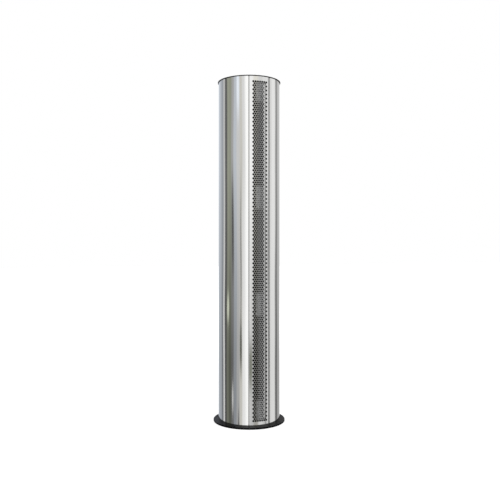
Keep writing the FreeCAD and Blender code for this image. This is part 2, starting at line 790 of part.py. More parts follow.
for fewer in (0, 1):
    punch = new_body("punch")
    columns = "(hole_columns - %d)" % fewer
    rows = "(long_rows - %d)" % fewer
    height = "first_row + %d*row_step/2" % fewer
    sketch = new_sketch(punch, "XZ_Plane", "casing_radius + overrun")
    circle_at(sketch, "0", height, "hole_diameter")
    bind(sketch, "AttachmentOffset.Rotation.Axis.y", "1")
    bind(sketch, "AttachmentOffset.Base.x", "-(casing_radius + overrun)*sin(%s/2*facet"
         " - facet/2)" % columns)
    bind(sketch, "AttachmentOffset.Base.z", "(casing_radius + overrun)*cos(%s/2*facet"
         " - facet/2)" % columns)
    bind(sketch, "AttachmentOffset.Rotation.Angle", "-(%s/2*facet - facet/2)" % columns)
    pin = pad(punch, sketch, "casing_sheet + 2*overrun", down=True)
    grid = punch.newObject("PartDesign::MultiTransform", "Perforation")
    grid.Originals = [pin]
    across = punch.newObject("PartDesign::PolarPattern", "Across")
    across.Axis = (datum(punch, "Z_Axis"), [""])
    bind(across, "Angle", "(%s - 1)*facet" % columns)
    bind(across, "Occurrences", columns)
    rise = punch.newObject("PartDesign::LinearPattern", "Rows")
    rise.Direction = (datum(punch, "Z_Axis"), [""])
    bind(rise, "Length", "(%s - 1)*row_step" % rows)
    bind(rise, "Occurrences", rows)
    grid.Transformations = [across, rise]
    punch.Tip = grid
    punches.append(punch)
perforation = doc.addObject("Part::Compound", "perforation")
perforation.Links = punches
keep(cut("intake_panel", intake, [perforation]), "intake_panel")

# Outlet panel: the rear strip of the column with a window for each nozzle.
outlet = new_body("outlet_panel")
sketch = new_sketch(outlet, "XY_Plane", "base_thick")
outline(sketch, [("panel_edge_x", "panel_back_y"), ("panel_edge_x", "panel_edge_y"),
                 ("-panel_edge_x", "panel_edge_y"), ("-panel_edge_x", "panel_back_y"),
                 ("casing_sheet - panel_edge_x", "panel_back_y"),
                 ("casing_sheet - panel_edge_x",
                  "sqrt(casing_inner^2 - (panel_edge_x - casing_sheet)^2)"),
                 ("panel_edge_x - casing_sheet",
                  "sqrt(casing_inner^2 - (panel_edge_x - casing_sheet)^2)"),
                 ("panel_edge_x - casing_sheet", "panel_back_y")],
        {1: ("casing_radius", 1), 5: ("casing_inner", -1)})
pad(outlet, sketch, "casing_height - panel_top_gap")
for low, back, places, diameter in (
        ("base_thick", "panel_back_y", (("dowel_x", "dowel_y"), ("-dowel_x", "dowel_y")),
         "dowel_diameter + 2*dowel_gap"),
        ("top_plate_top", "tab_back_y",
         (("tab_screw_x", "tab_screw_y"), ("-tab_screw_x", "tab_screw_y")), "screw_hole")):
    sketch = new_sketch(outlet, "XY_Plane", low)
    outline(sketch, [("tab_edge_x", back), ("tab_edge_x", "tab_edge_y"),
                     ("-tab_edge_x", "tab_edge_y"), ("-tab_edge_x", back)],
            {1: ("tab_radius", 1)})
    pad(outlet, sketch, "casing_sheet")
    sketch = new_sketch(outlet, "XY_Plane", low + " + casing_sheet")
    for across, up in places:
        circle_at(sketch, across, up, diameter)
    pocket(outlet, sketch, "casing_sheet + overrun")
sketch = new_sketch(outlet, "XZ_Plane", "-panel_back_y")
rectangle(sketch, "-nozzle_x - window_gap", "nozzle_x + window_gap",
          "fan_floor - window_gap", "fan_ceiling + window_gap")
window = pocket(outlet, sketch, "casing_radius - panel_back_y + overrun")
upward(outlet, window, "(fan_count - 1)*module_pitch", "fan_count")
keep(outlet, "outlet_panel")

# Bay covers: trays that close the bays above and below the fans behind the intake panel.
BAYS = [("base_thick", "motor_plate_low - base_thick")]
for level in range(FAN_COUNT - 1):
    BAYS.append(("bearing_plate_top + %d*module_pitch" % level, "motor_bay - 2*plate_thick"))
BAYS.append(("bearing_plate_top + (fan_count - 1)*module_pitch",
             "top_plate_low - bearing_plate_top - (fan_count - 1)*module_pitch"))
for number, (low, high) in enumerate(BAYS, 1):
    label = "bay_cover_%d" % number
    tray = box(label + "_tray", "-cover_x", "-cover_front", low,
               "2*cover_x", "cover_front - cover_back", high)
    hollow = box(label + "_hollow", "-cover_x - overrun", "cover_sheet - cover_front",
                 low + " + cover_sheet", "2*cover_x + 2*overrun",
                 "cover_front - cover_back", high + " - 2*cover_sheet")
    tools = [hollow]
    if number == len(BAYS):
        for side in SIGNS:
            tools.append(rod(label + "_drill", side + "tab_screw_x", "-tab_screw_y",
                             "top_plate_low - cover_sheet - overrun", "screw_hole/2",
                             "cover_sheet + 2*overrun"))
    keep(cut(label, tray, tools), label)

# Scroll: guide sheet round the left of the fan, led from the post into the nozzle.
scroll = new_body("scroll_1")
sketch = new_sketch(scroll, "XY_Plane", "fan_floor")
outline(sketch, [("-post_x", "-post_face_y"), ("-post_x", "scroll_start_y"),
                 ("scroll_leave_x", "scroll_leave_y"), ("-nozzle_x", "nozzle_back"),
                 ("-nozzle_x", "duct_end_y"), ("-nozzle_x - duct_sheet", "duct_end_y"),
                 ("-nozzle_x - duct_sheet", "scroll_bend_outer_y"),
                 ("scroll_leave_outer_x", "scroll_leave_outer_y"),
                 ("-post_x - duct_sheet", "scroll_start_outer_y"),
                 ("-post_x - duct_sheet", "-post_face_y")],
        {1: ("scroll_radius", -1), 7: ("scroll_outer", 1)})
pad(scroll, sketch, "fan_bay")
stacked(scroll, "scroll")

# Tongue: folded sheet on the right of the fan that parts intake from outlet.
tongue = new_body("tongue_1")
sketch = new_sketch(tongue, "XY_Plane", "fan_floor")
outline(sketch, [("post_x", "-post_face_y"), ("tongue_far_x", "tongue_lead_y"),
                 ("tongue_far_x", "tongue_tip_y"), ("tongue_tip_x", "tongue_tip_y"),
                 ("nozzle_x", "nozzle_back"), ("nozzle_x", "duct_end_y"),
                 ("nozzle_x + duct_sheet", "duct_end_y"),
                 ("nozzle_x + duct_sheet", "tongue_bend_outer_y"),
                 ("tongue_tip_outer_x", "tongue_tip_outer_y"),
                 ("tongue_far_x + duct_sheet", "tongue_tip_outer_y"),
                 ("tongue_far_x + duct_sheet", "tongue_lead_outer_y"),
                 ("tongue_lead_outer_x", "-post_face_y")])
pad(tongue, sketch, "fan_bay")
stacked(tongue, "tongue")

# Outlet nozzle: rectangular duct from the scroll out through the panel window.
shell = box("nozzle_shell", "-nozzle_x", "nozzle_back", "fan_floor",
            "2*nozzle_x", "nozzle_front - nozzle_back", "fan_bay")
tools = [box("nozzle_hollow", "-nozzle_width/2", "nozzle_back - overrun",
             "fan_floor + nozzle_wall", "nozzle_width",
             "nozzle_front - nozzle_back + 2*overrun", "fan_bay - 2*nozzle_wall")]
for side in SIGNS:
    tools.append(rod("nozzle_pivot", side + "vane_spread/2", "vane_y", "fan_floor - overrun",
                     "vane_pin_diameter/2 + running_gap", "fan_bay + 2*overrun"))
    tools.append(rod("nozzle_drill", side + "nozzle_screw_spread/2", "nozzle_screw_y",
                     "fan_floor - overrun", "screw_hole/2", "fan_bay + 2*overrun"))
stacked(cut("outlet_nozzle_1", shell, tools), "outlet_nozzle")

# Vanes: two slim upright blades in each nozzle, turning on end pins.
vane = new_body("vane_1_right")
sketch = new_sketch(vane, "XY_Plane", "vane_low", across="vane_spread/2", back="vane_y")
outline(sketch, [("vane_tip/2", "-vane_chord/2"), ("vane_tip/2", "vane_chord/2"),
                 ("-vane_tip/2", "vane_chord/2"), ("-vane_tip/2", "-vane_chord/2")],
        {0: ("vane_bend", 1), 2: ("vane_bend", 1)})
pad(vane, sketch, "vane_length")
for height, down in (("vane_low", True), ("vane_low + vane_length", False)):
    sketch = new_sketch(vane, "XY_Plane", height, across="vane_spread/2", back="vane_y")
    circle_at(sketch, "0", "0", "vane_pin_diameter")
    pad(vane, sketch, "vane_pin_length", down=down)
keep(vane, "vane_1_right")
repeated(vane, "vane_1_left", across="-vane_spread")
for level in range(1, FAN_COUNT):
    rise = "%d*module_pitch" % level
    repeated(vane, "vane_%d_right" % (level + 1), up=rise)
    repeated(vane, "vane_%d_left" % (level + 1), across="-vane_spread", up=rise)

# Impeller: cross-flow drum of leaning, curved blades between end discs, with stiffening rings
# and a stub shaft on top.
impeller = new_body("impeller_1")
sketch = fan_sketch(impeller, "disc_low")
circle_at(sketch, "0", "0", "2*rotor_radius")
circle_at(sketch, "0", "0", "hub_diameter")
pad(impeller, sketch, "end_disc_thick")
sketch = fan_sketch(impeller, "disc_top")
outline(sketch, [("rotor_radius - blade_slip", "0"), ("rotor_radius", "blade_rise"),
                 ("blade_in", "blade_lean + blade_rise"),
                 ("blade_in - blade_slip", "blade_lean")],
        {1: ("blade_bend + blade_thick", 1), 3: ("blade_bend", -1)})
blade = pad(impeller, sketch, "blade_length")
around(impeller, blade, (sketch, ["N_Axis"]), "blade_count")
sketch = fan_sketch(impeller, "upper_disc_low")
circle_at(sketch, "0", "0", "2*rotor_radius")
pad(impeller, sketch, "end_disc_thick")
sketch = fan_sketch(impeller, "upper_disc_top")
circle_at(sketch, "0", "0", "shaft_diameter")
pad(impeller, sketch, "stub_length")
for number in range(1, SIZES["ring_count"] + 1):
    sketch = fan_sketch(impeller, "disc_top + %d*ring_step" % number)
    circle_at(sketch, "0", "0", "2*rotor_radius")
    circle_at(sketch, "0", "0", "2*blade_in")
    pad(impeller, sketch, "end_disc_thick")
stacked(impeller, "impeller")

# Drive hub: soft hub between motor shaft and impeller.
hub = new_body("drive_hub_1")
sketch = fan_profile(hub)
outline(sketch, [("shaft_bore", "disc_low - hub_drop"),
                 ("hub_radius - running_gap", "disc_low - hub_drop"),
                 ("hub_radius - running_gap", "disc_top"),
                 ("hub_flange_diameter/2", "disc_top"), ("hub_flange_diameter/2", "hub_top"),
                 ("shaft_bore", "hub_top")])
turn(hub, sketch)
stacked(hub, "drive_hub")

# Motor rotor: core and shaft.
rotor = new_body("motor_rotor_1")
sketch = fan_profile(rotor)
outline(sketch, [("0", "motor_low"), ("shaft_radius", "motor_low"),
                 ("shaft_radius", "stator_low"), ("core_radius", "stator_low"),
                 ("core_radius", "stator_top"), ("shaft_radius", "stator_top"),
                 ("shaft_radius", "hub_top - shaft_recess"), ("0", "hub_top - shaft_recess")])
turn(rotor, sketch)
stacked(rotor, "motor_rotor")

# Motor stator: laminated ring with winding heads above and below.
stator = new_body("motor_stator_1")
sketch = fan_profile(stator)
outline(sketch, [("stator_bore/2", "stator_low"), ("winding_inner", "stator_low"),
                 ("winding_inner", "stator_low - winding_height"),
                 ("winding_outer", "stator_low - winding_height"),
                 ("winding_outer", "stator_low"), ("stator_radius", "stator_low"),
                 ("stator_radius", "stator_top"), ("winding_outer", "stator_top"),
                 ("winding_outer", "stator_top + winding_height"),
                 ("winding_inner", "stator_top + winding_height"),
                 ("winding_inner", "stator_top"), ("stator_bore/2", "stator_top")])
turn(stator, sketch)
stacked(stator, "motor_stator")

# Motor housing: flanged can hung under its shelf plate, vented above and below the stator.
housing = new_body("motor_housing_1")
sketch = fan_profile(housing)
outline(sketch, [("shaft_bore", "motor_plate_low"),
                 ("motor_flange_diameter/2", "motor_plate_low"),
                 ("motor_flange_diameter/2", "motor_cavity_top"),
                 ("motor_radius", "motor_cavity_top"), ("motor_radius", "motor_low"),
                 ("shaft_bore", "motor_low"), ("shaft_bore", "motor_cavity_low"),
                 ("motor_inner", "motor_cavity_low"), ("motor_inner", "motor_cavity_top"),
                 ("shaft_bore", "motor_cavity_top")])
turn(housing, sketch)
sketch = new_sketch(housing, "XY_Plane", "motor_plate_low")
for across, back in MOTOR_PLACES:
    circle_at(sketch, across, back, "screw_hole")
pocket(housing, sketch, "motor_flange_thick + overrun")
for low, high in (("stator_low - vent_height", "stator_low"),
                  ("stator_top", "stator_top + vent_height")):
    sketch = fan_profile(housing)
    rectangle(sketch, "-vent_width/2", "vent_width/2", low, high)
    vent = pocket(housing, sketch, "motor_radius + overrun")
    around(housing, vent, (sketch, ["V_Axis"]), "vent_count")
stacked(housing, "motor_housing")

# Upper bearing: flanged bush for the stub shaft.
bearing = new_body("upper_bearing_1")
sketch = fan_profile(bearing)
outline(sketch, [("shaft_bore", "bearing_low"), ("bearing_boss_radius", "bearing_low"),
                 ("bearing_boss_radius", "bearing_plate_top"),
                 ("bearing_flange_diameter/2", "bearing_plate_top"),
                 ("bearing_flange_diameter/2", "bearing_flange_top"),
                 ("bearing_boss_radius", "bearing_flange_top"),
                 ("bearing_boss_radius", "bearing_top"), ("shaft_bore", "bearing_top")])
turn(bearing, sketch)
sketch = new_sketch(bearing, "XY_Plane", "bearing_flange_top")
for across, back in BEARING_PLACES:
    circle_at(sketch, across, back, "screw_hole")
pocket(bearing, sketch, "bearing_flange_thick + overrun")
stacked(bearing, "upper_bearing")

# Cable grommet in the middle of the base plate.
grommet = new_body("cable_grommet")
sketch = new_sketch(grommet, "XZ_Plane")
outline(sketch, [("cable_bore/2", "grommet_recess"),
                 ("grommet_radius - grommet_fit", "grommet_recess"),
                 ("grommet_radius - grommet_fit", "base_thick"),
                 ("grommet_radius + grommet_lip", "base_thick"),
                 ("grommet_radius + grommet_lip", "base_thick + grommet_lip_thick"),
                 ("cable_bore/2", "base_thick + grommet_lip_thick")])
turn(grommet, sketch)
keep(grommet, "cable_grommet")

# Terminal box on the base plate, with a gland hole towards the cable.
shell = box("terminal_box_shell", "-box_length/2", "box_offset - box_width/2", "box_low",
            "box_length", "box_width", "box_height")
hollow = box("terminal_box_hollow", "box_wall - box_length/2",
             "box_offset - box_width/2 + box_wall", "box_low + box_wall",
             "box_length - 2*box_wall", "box_width - 2*box_wall", "box_height")
gland = rod("terminal_box_gland", "0", "box_offset - box_width/2 + box_wall + overrun",
            "box_low + box_height/2", "box_gland/2", "box_wall + 2*overrun")
gland.Placement.Rotation = FreeCAD.Rotation(V(1, 0, 0), 90)
keep(cut("terminal_box", shell, [hollow, gland]), "terminal_box")
keep(box("terminal_box_lid", "-box_length/2", "box_offset - box_width/2",
         "box_low + box_height", "box_length", "box_width", "box_lid_thick"),
     "terminal_box_lid")

# Run capacitors: one can under each motor plate.
can = doc.addObject("Part::Fuse", "capacitor")
can.Base = rod("capacitor_can", "capacitor_across", "capacitor_back", "capacitor_low",
               "capacitor_diameter/2", "capacitor_height")
can.Tool = rod("capacitor_cap", "capacitor_across", "capacitor_back",
               "capacitor_low - capacitor_cap_height", "capacitor_cap_diameter/2",
               "capacitor_cap_height")
cans = [can]
for level in range(1, FAN_COUNT):
    copy = doc.addObject("Part::Compound", "capacitor_copy")
    copy.Links = [can]
    bind(copy, "Placement.Base.z", "%d*module_pitch" % level)
    cans.append(copy)
group = doc.addObject("Part::Compound", "run_capacitors")
group.Links = cans
keep(group, "run_capacitors")

# Button-head screw, head up, seated at its own origin; it serves the whole frame.
screw = new_body("button_screw")
sketch = new_sketch(screw, "XZ_Plane")
outline(sketch, [("0", "-screw_length"), ("screw_diameter/2", "-screw_length"),
                 ("screw_diameter/2", "0"), ("head_diameter/2", "0"),
                 ("head_diameter/2", "head_height - head_rounding"),
                 ("head_diameter/2 - head_rounding", "head_height"), ("0", "head_height")])
turn(screw, sketch)
sketch = new_sketch(screw, "XY_Plane", "head_height")
hexagon = [("socket_width/sqrt(3)*cos(%d*60)" % side, "socket_width/sqrt(3)*sin(%d*60)" % side)
           for side in range(6)]
outline(sketch, hexagon)
pocket(screw, sketch, "socket_depth")

# Countersunk lid screw, top face at its own origin.
sunk = new_body("sunk_screw")
sketch = new_sketch(sunk, "XZ_Plane")
outline(sketch, [("0", "-sunk_length"), ("screw_diameter/2", "-sunk_length"),
                 ("screw_diameter/2", "-sunk_depth"), ("sunk_head_diameter/2", "0"),
                 ("0", "0")])
turn(sunk, sketch)
sketch = new_sketch(sunk, "XY_Plane")
outline(sketch, hexagon)
pocket(sunk, sketch, "socket_depth")
doc.recompute()


def screws(label, source, places):
    """Group of equal screws, each at a point with its head in a direction."""
    copies = []
    for point, head in places:
        copy = source.Shape.copy()
        copy.Placement = FreeCAD.Placement(point, FreeCAD.Rotation(V(0, 0, 1), head))
        copies.append(copy)
    thing = doc.addObject("Part::Feature", label)
    thing.Shape = Part.makeCompound(copies)
    return keep(thing, label)


def spot(across, back, height):
    """Point from three formulas."""
    return V(value(across), value(back), value(height))


UP = V(0, 0, 1)
DOWN = V(0, 0, -1)
places = []
for side in SIGNS:
    inward = V(-1, 0, 0) if side == "" else V(1, 0, 0)
    for end in SIGNS:
        middle = V(0, -1, 0) if end == "" else V(0, 1, 0)
        for height in LEG_HEIGHTS:
            places.append((spot(side + "leg_x", end + "post_mid_y", height), inward))
        for height in TAB_HEIGHTS:
            seat = end + "(post_face_y - plate_thick)"
            places.append((spot(side + "post_mid_x", seat, height), middle))
for level in range(FAN_COUNT):
    lift = " + %d*module_pitch" % level
    for across, back in MOTOR_PLACES:
        places.append((spot(across, back, "motor_cavity_top" + lift), DOWN))
    for across, back in BEARING_PLACES:
        places.append((spot(across, back, "bearing_flange_top" + lift), UP))
    for across, back in NOZZLE_PLACES:
        places.append((spot(across, back, "motor_plate_low" + lift), DOWN))
        places.append((spot(across, back, "bearing_plate_top" + lift), UP))
for across, back in PANEL_PLACES:
    places.append((spot(across, back, "top_plate_top + casing_sheet"), UP))
screws("button_screws", screw, places)
screws("lid_screws", sunk, [(spot(x, y, "lid_top"), UP) for x, y in LID_PLACES])

doc.recompute()
for thing in doc.Objects:
    if "Invalid" in thing.State or "Error" in thing.State:
        raise RuntimeError("not built: " + thing.Label)
os.makedirs("parts", exist_ok=True)
for thing in PARTS:
    shape = thing.Shape
    if shape.isNull() or not shape.Solids:
        raise RuntimeError("no solid: " + thing.Label)
    shape.exportStep("parts/%s.step" % thing.Label)
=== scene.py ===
import math

import bpy
import numpy as np
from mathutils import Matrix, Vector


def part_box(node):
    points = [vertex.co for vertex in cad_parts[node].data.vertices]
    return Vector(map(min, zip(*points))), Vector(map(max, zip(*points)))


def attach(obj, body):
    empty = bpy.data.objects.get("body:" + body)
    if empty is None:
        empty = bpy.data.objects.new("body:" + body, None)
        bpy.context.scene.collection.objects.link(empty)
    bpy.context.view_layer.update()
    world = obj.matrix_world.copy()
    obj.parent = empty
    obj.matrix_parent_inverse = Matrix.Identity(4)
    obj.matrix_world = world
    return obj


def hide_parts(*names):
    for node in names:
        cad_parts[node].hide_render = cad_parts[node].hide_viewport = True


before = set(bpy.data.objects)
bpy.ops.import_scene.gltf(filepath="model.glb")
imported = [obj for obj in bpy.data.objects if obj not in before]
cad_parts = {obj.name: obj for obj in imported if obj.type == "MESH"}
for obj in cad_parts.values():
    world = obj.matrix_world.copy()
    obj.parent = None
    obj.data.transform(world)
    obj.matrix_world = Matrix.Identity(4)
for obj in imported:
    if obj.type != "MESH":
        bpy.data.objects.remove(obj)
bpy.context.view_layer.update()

bl_info = {
    "name": "Column Air Curtain",
    "version": (1, 0, 0),
    "blender": (4, 5, 0),
    "location": "View3D > Sidebar > Air Curtain",
    "description": "Finishes, sheet metal and studio for a floor-standing column air curtain",
    "category": "Object",
}

CASING_LOW, CASING_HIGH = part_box("right_casing")
PANEL_LOW, PANEL_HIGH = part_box("intake_panel")
OUTLET_LOW, OUTLET_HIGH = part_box("outlet_panel")
LEVELS = (1, 2, 3)
NOZZLES = [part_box("outlet_nozzle_%d" % level) for level in LEVELS]
CASING_RADIUS = float(CASING_HIGH[0])
POST_FACE = float(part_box("motor_plate_1")[1][1])

# Points round a folded edge with both its ends, facets across the rail and facets round the
# reflection wall; points nearer than the weld, in metres, become one.
FOLD_POINTS = 9
RAIL_FACETS = 8
WALL_FACETS = 128
WELD = 1e-7

# Noise scales along x, y and z, per metre, and the part of a noise's range that roughness and
# shade use.
SHEET_WAVES = (5.0, 5.0, 0.9)
POLISH_LINES = (900.0, 900.0, 3.0)
COAT_PIMPLES = (1400.0, 1400.0, 1400.0)
COAT_PATCHES = (14.0, 14.0, 14.0)
CARD_DRIFT = (0.2, 0.2, 0.5)
NOISE_LOW, NOISE_HIGH = 0.3, 0.7
SHADE_LOW, SHADE_HIGH = 0.25, 0.75
# Closeness to a hole's rim from where the sheet has the full painted shade of the rim.
RIM_SHADE_FULL = 0.66


class CurtainSizes(bpy.types.PropertyGroup):
    """Sizes of the rolled and perforated sheets."""
    sheet: bpy.props.FloatProperty(
        name="Sheet", description="Thickness of the stainless sheet",
        default=0.0015, unit="LENGTH")
    hole_pitch: bpy.props.FloatProperty(
        name="Hole pitch", description="Distance between neighbouring holes",
        default=0.0146, unit="LENGTH")
    hole_diameter: bpy.props.FloatProperty(
        name="Hole diameter", description="Diameter of the intake holes",
        default=0.0112, unit="LENGTH")
    hole_margin: bpy.props.FloatProperty(
        name="Hole margin", description="Least height from the panel's end to a hole centre",
        default=0.031, unit="LENGTH")
    hole_columns: bpy.props.IntProperty(
        name="Hole columns", description="Holes in a long row", default=7, min=2)
    rail_middle: bpy.props.FloatProperty(
        name="Rail middle", description="Middle of the rail from the panel's middle",
        default=0.0319, unit="LENGTH")
    rail_width: bpy.props.FloatProperty(
        name="Rail width", description="Width of the rail behind the panel",
        default=0.0134, unit="LENGTH")
    rail_gap: bpy.props.FloatProperty(
        name="Rail gap", description="Gap between the panel and its rail",
        default=0.0001, unit="LENGTH")
    # Painted shade: beyond this zone a bay cover is near black and not metallic, standing in for
    # the shadow at its edges.
    unshaded_middle: bpy.props.FloatProperty(
        name="Unshaded middle", description="Middle of a bay cover's bare zone from the axis",
        default=0.011, unit="LENGTH")
    unshaded_half: bpy.props.FloatProperty(
        name="Unshaded half", description="Half width of a bay cover's bare zone",
        default=0.028, unit="LENGTH")
    window_gap: bpy.props.FloatProperty(
        name="Window gap", description="Gap between a nozzle and its window",
        default=0.0005, unit="LENGTH")
    fold: bpy.props.FloatProperty(
        name="Fold", description="Outer radius of a folded edge",
        default=0.0022, unit="LENGTH")
    flange: bpy.props.FloatProperty(
        name="Flange", description="Depth of the panels' folded edges",
        default=0.015, unit="LENGTH")
    arc_step: bpy.props.FloatProperty(
        name="Arc step", description="Angle of one facet of a rolled sheet",
        default=math.radians(0.5), subtype="ANGLE")


class CurtainFinishes(bpy.types.PropertyGroup):
    """Colours of the finishes."""
    polished: bpy.props.FloatVectorProperty(
        name="Polished steel", description="Tint of the polished stainless sheet",
        default=(0.80, 0.80, 0.79), subtype="COLOR")
    # Painted shade: the near-black colour the sheet takes at its holes' rims, standing in for
    # the shade inside the holes.
    painted_rim_shade: bpy.props.FloatVectorProperty(
        name="Painted rim shade", description="Tint of the sheet at the rims of its holes",
        default=(0.06, 0.06, 0.06), subtype="COLOR")
    black: bpy.props.FloatVectorProperty(
        name="Black coat", description="Powder coat of base and lid",
        default=(0.005, 0.005, 0.006), subtype="COLOR")
    zinc: bpy.props.FloatVectorProperty(
        name="Zinc", description="Galvanised sheet inside",
        default=(0.50, 0.51, 0.52), subtype="COLOR")
    # Painted shade: the sheet round the fans is near black so that the holes before the fans
    # read as dark as the column's shaded inside.
    duct_painted_shade: bpy.props.FloatVectorProperty(
        name="Duct", description="Dark primed sheet round the fans",
        default=(0.03, 0.03, 0.032), subtype="COLOR")
    aluminium: bpy.props.FloatVectorProperty(
        name="Aluminium", description="Aluminium of nozzles, vanes and capacitor cans",
        default=(0.62, 0.62, 0.63), subtype="COLOR")
    # Painted shade: the impeller sheet is near black so that the fans seen through the holes
    # read as dark as the column's shaded inside.
    fan_painted_shade: bpy.props.FloatVectorProperty(
        name="Fan", description="Impeller sheet",
        default=(0.05, 0.05, 0.052), subtype="COLOR")
    cast: bpy.props.FloatVectorProperty(
        name="Cast", description="Die-cast motor and bearing housings",
        default=(0.28, 0.28, 0.29), subtype="COLOR")
    core: bpy.props.FloatVectorProperty(
        name="Core", description="Lacquered laminations and windings",
        default=(0.16, 0.09, 0.05), subtype="COLOR")
    rubber: bpy.props.FloatVectorProperty(
        name="Rubber", description="Hubs and grommet",
        default=(0.015, 0.015, 0.015), subtype="COLOR")
    plastic: bpy.props.FloatVectorProperty(
        name="Plastic", description="Terminal box",
        default=(0.48, 0.48, 0.47), subtype="COLOR")


class CurtainStudio(bpy.types.PropertyGroup):
    """Camera and studio."""
    azimuth: bpy.props.FloatProperty(
        name="Azimuth", description="Camera's turn from the intake side",
        default=math.radians(-20.2), subtype="ANGLE")
    distance: bpy.props.FloatProperty(
        name="Distance", description="Camera to column axis", default=4.144, unit="LENGTH")
    height: bpy.props.FloatProperty(
        name="Height", description="Camera above the floor", default=1.138, unit="LENGTH")
    lens: bpy.props.FloatProperty(
        name="Lens", description="Focal length in millimetres", default=45.46)
    shift_across: bpy.props.FloatProperty(
        name="Shift across", description="Camera's sideways shift in picture widths",
        default=0.0018)
    shift_up: bpy.props.FloatProperty(
        name="Shift up", description="Camera's upward shift in picture widths",
        default=-0.0077)
    soft_light: bpy.props.FloatProperty(
        name="Soft light", description="Strength of the even light all round", default=0.55)
    floor_reach: bpy.props.FloatProperty(
        name="Floor reach", description="Half width of the floor",
        default=30.0, unit="LENGTH")
    wall_radius: bpy.props.FloatProperty(
        name="Wall radius", description="Reflection wall round the stage",
        default=6.0, unit="LENGTH")
    wall_reach: bpy.props.FloatProperty(
        name="Wall reach", description="Reflection wall's height above and below the floor",
        default=60.0, unit="LENGTH")
    card_shift: bpy.props.FloatProperty(
        name="Card shift", description="Turn of all the cards, in full turns", default=0.015)
    card_drift: bpy.props.FloatProperty(
        name="Card drift", description="Waver of the cards' edges, in full turns",
        default=0.03)
    low_light: bpy.props.FloatProperty(
        name="Low light", description="Height where the cards have their low light",
        default=-0.6, unit="LENGTH")
    high_light: bpy.props.FloatProperty(
        name="High light", description="Height where the cards have their high light",
        default=2.4, unit="LENGTH")


# Cards hung round the stage for the polished sheet to mirror: azimuth from the camera where a
# card begins and ends in degrees, its light high up and near the floor, and its tint.
COOL = (0.94, 1.0, 1.09)
PLAIN = (1.0, 1.0, 1.0)
LEAF = (0.99, 1.03, 0.84)
WARM = (1.02, 1.0, 0.93)
LEFT_CARDS = [
    (-180, -158, 0.90, 0.70, COOL),
    (-150, -136, 0.64, 0.44, COOL),
    (-131, -128, 0.54, 0.45, COOL),
    (-123, -121, 0.46, 0.34, COOL),
    (-116, -113, 0.40, 0.16, COOL),
    (-108, -104, 0.66, 0.82, PLAIN),
    (-99, -91, 0.13, 0.09, PLAIN),
    (-88, -81, 0.37, 0.18, LEAF),
    (-78, -70, 0.34, 0.11, LEAF),
    (-67, -60, 0.44, 0.15, PLAIN),
    (-57, -48, 0.64, 0.32, COOL),
    (-45, -37, 0.70, 0.45, PLAIN),
    (-34, -27, 0.68, 0.64, WARM),
    (-23, -17, 0.82, 0.92, PLAIN),
]
FRONT_CARD = (-10, -2, 1.20, 1.15, PLAIN)
RIGHT_CARDS = [
    (3, 14, 1.06, 0.62, PLAIN),
    (20, 30, 0.88, 0.42, WARM),
    (36, 48, 0.80, 0.76, PLAIN),
    (52, 58, 0.90, 0.66, PLAIN),
    (61, 65, 0.88, 0.36, PLAIN),
    (68, 71, 0.96, 0.84, PLAIN),
    (74, 80, 0.40, 0.24, PLAIN),
    (84, 88, 0.84, 0.81, PLAIN),
    (93, 109, 0.96, 0.84, PLAIN),
    (116, 125, 0.33, 0.16, PLAIN),
    (131, 149, 0.62, 0.42, PLAIN),
    (164, 180, 0.86, 0.84, PLAIN),
]
HIGH, LOW, TINT = 2, 3, 4
# Small oval cards hung before them: azimuth of the middle and half width in degrees, height of
# the middle and half height in metres, light and tint. An oval is full out to its core's share
# of the way to its edge.
OVAL_CORE = 0.2
OVALS = [
    (-63.0, 7.5, 1.40, 1.25, 0.10, PLAIN),
    (-30.0, 4.5, 0.90, 1.90, 0.28, PLAIN),
    (-38.5, 5.0, -1.75, 0.55, 0.12, PLAIN),
    (-30.0, 7.0, -0.40, 0.65, 0.10, LEAF),
    (-83.0, 8.0, 0.18, 0.34, 0.72, LEAF),
    (-62.5, 5.0, -1.22, 0.34, 0.70, PLAIN),
    (-41.5, 9.0, 3.65, 0.75, 1.05, COOL),
    (5.0, 9.0, -0.72, 0.55, 0.22, LEAF),
]
# Lamps: place and size in metres, power in watts; and the level that their tip is reckoned from.
LAMPS = [
    ("key", (-2.6, -3.4, 4.2), 2.5, 120.0),
    ("fill", (3.4, -2.2, 3.2), 2.5, 70.0),
    ("back", (1.0, 4.0, 4.2), 3.0, 90.0),
]
LAMP_LEVEL = 1.1


def sizes():
    """Sizes of the current scene."""
    return bpy.context.scene.curtain_sizes


def finishes():
    """Finish colours of the current scene."""
    return bpy.context.scene.curtain_finishes


def studio():
    """Studio settings of the current scene."""
    return bpy.context.scene.curtain_studio


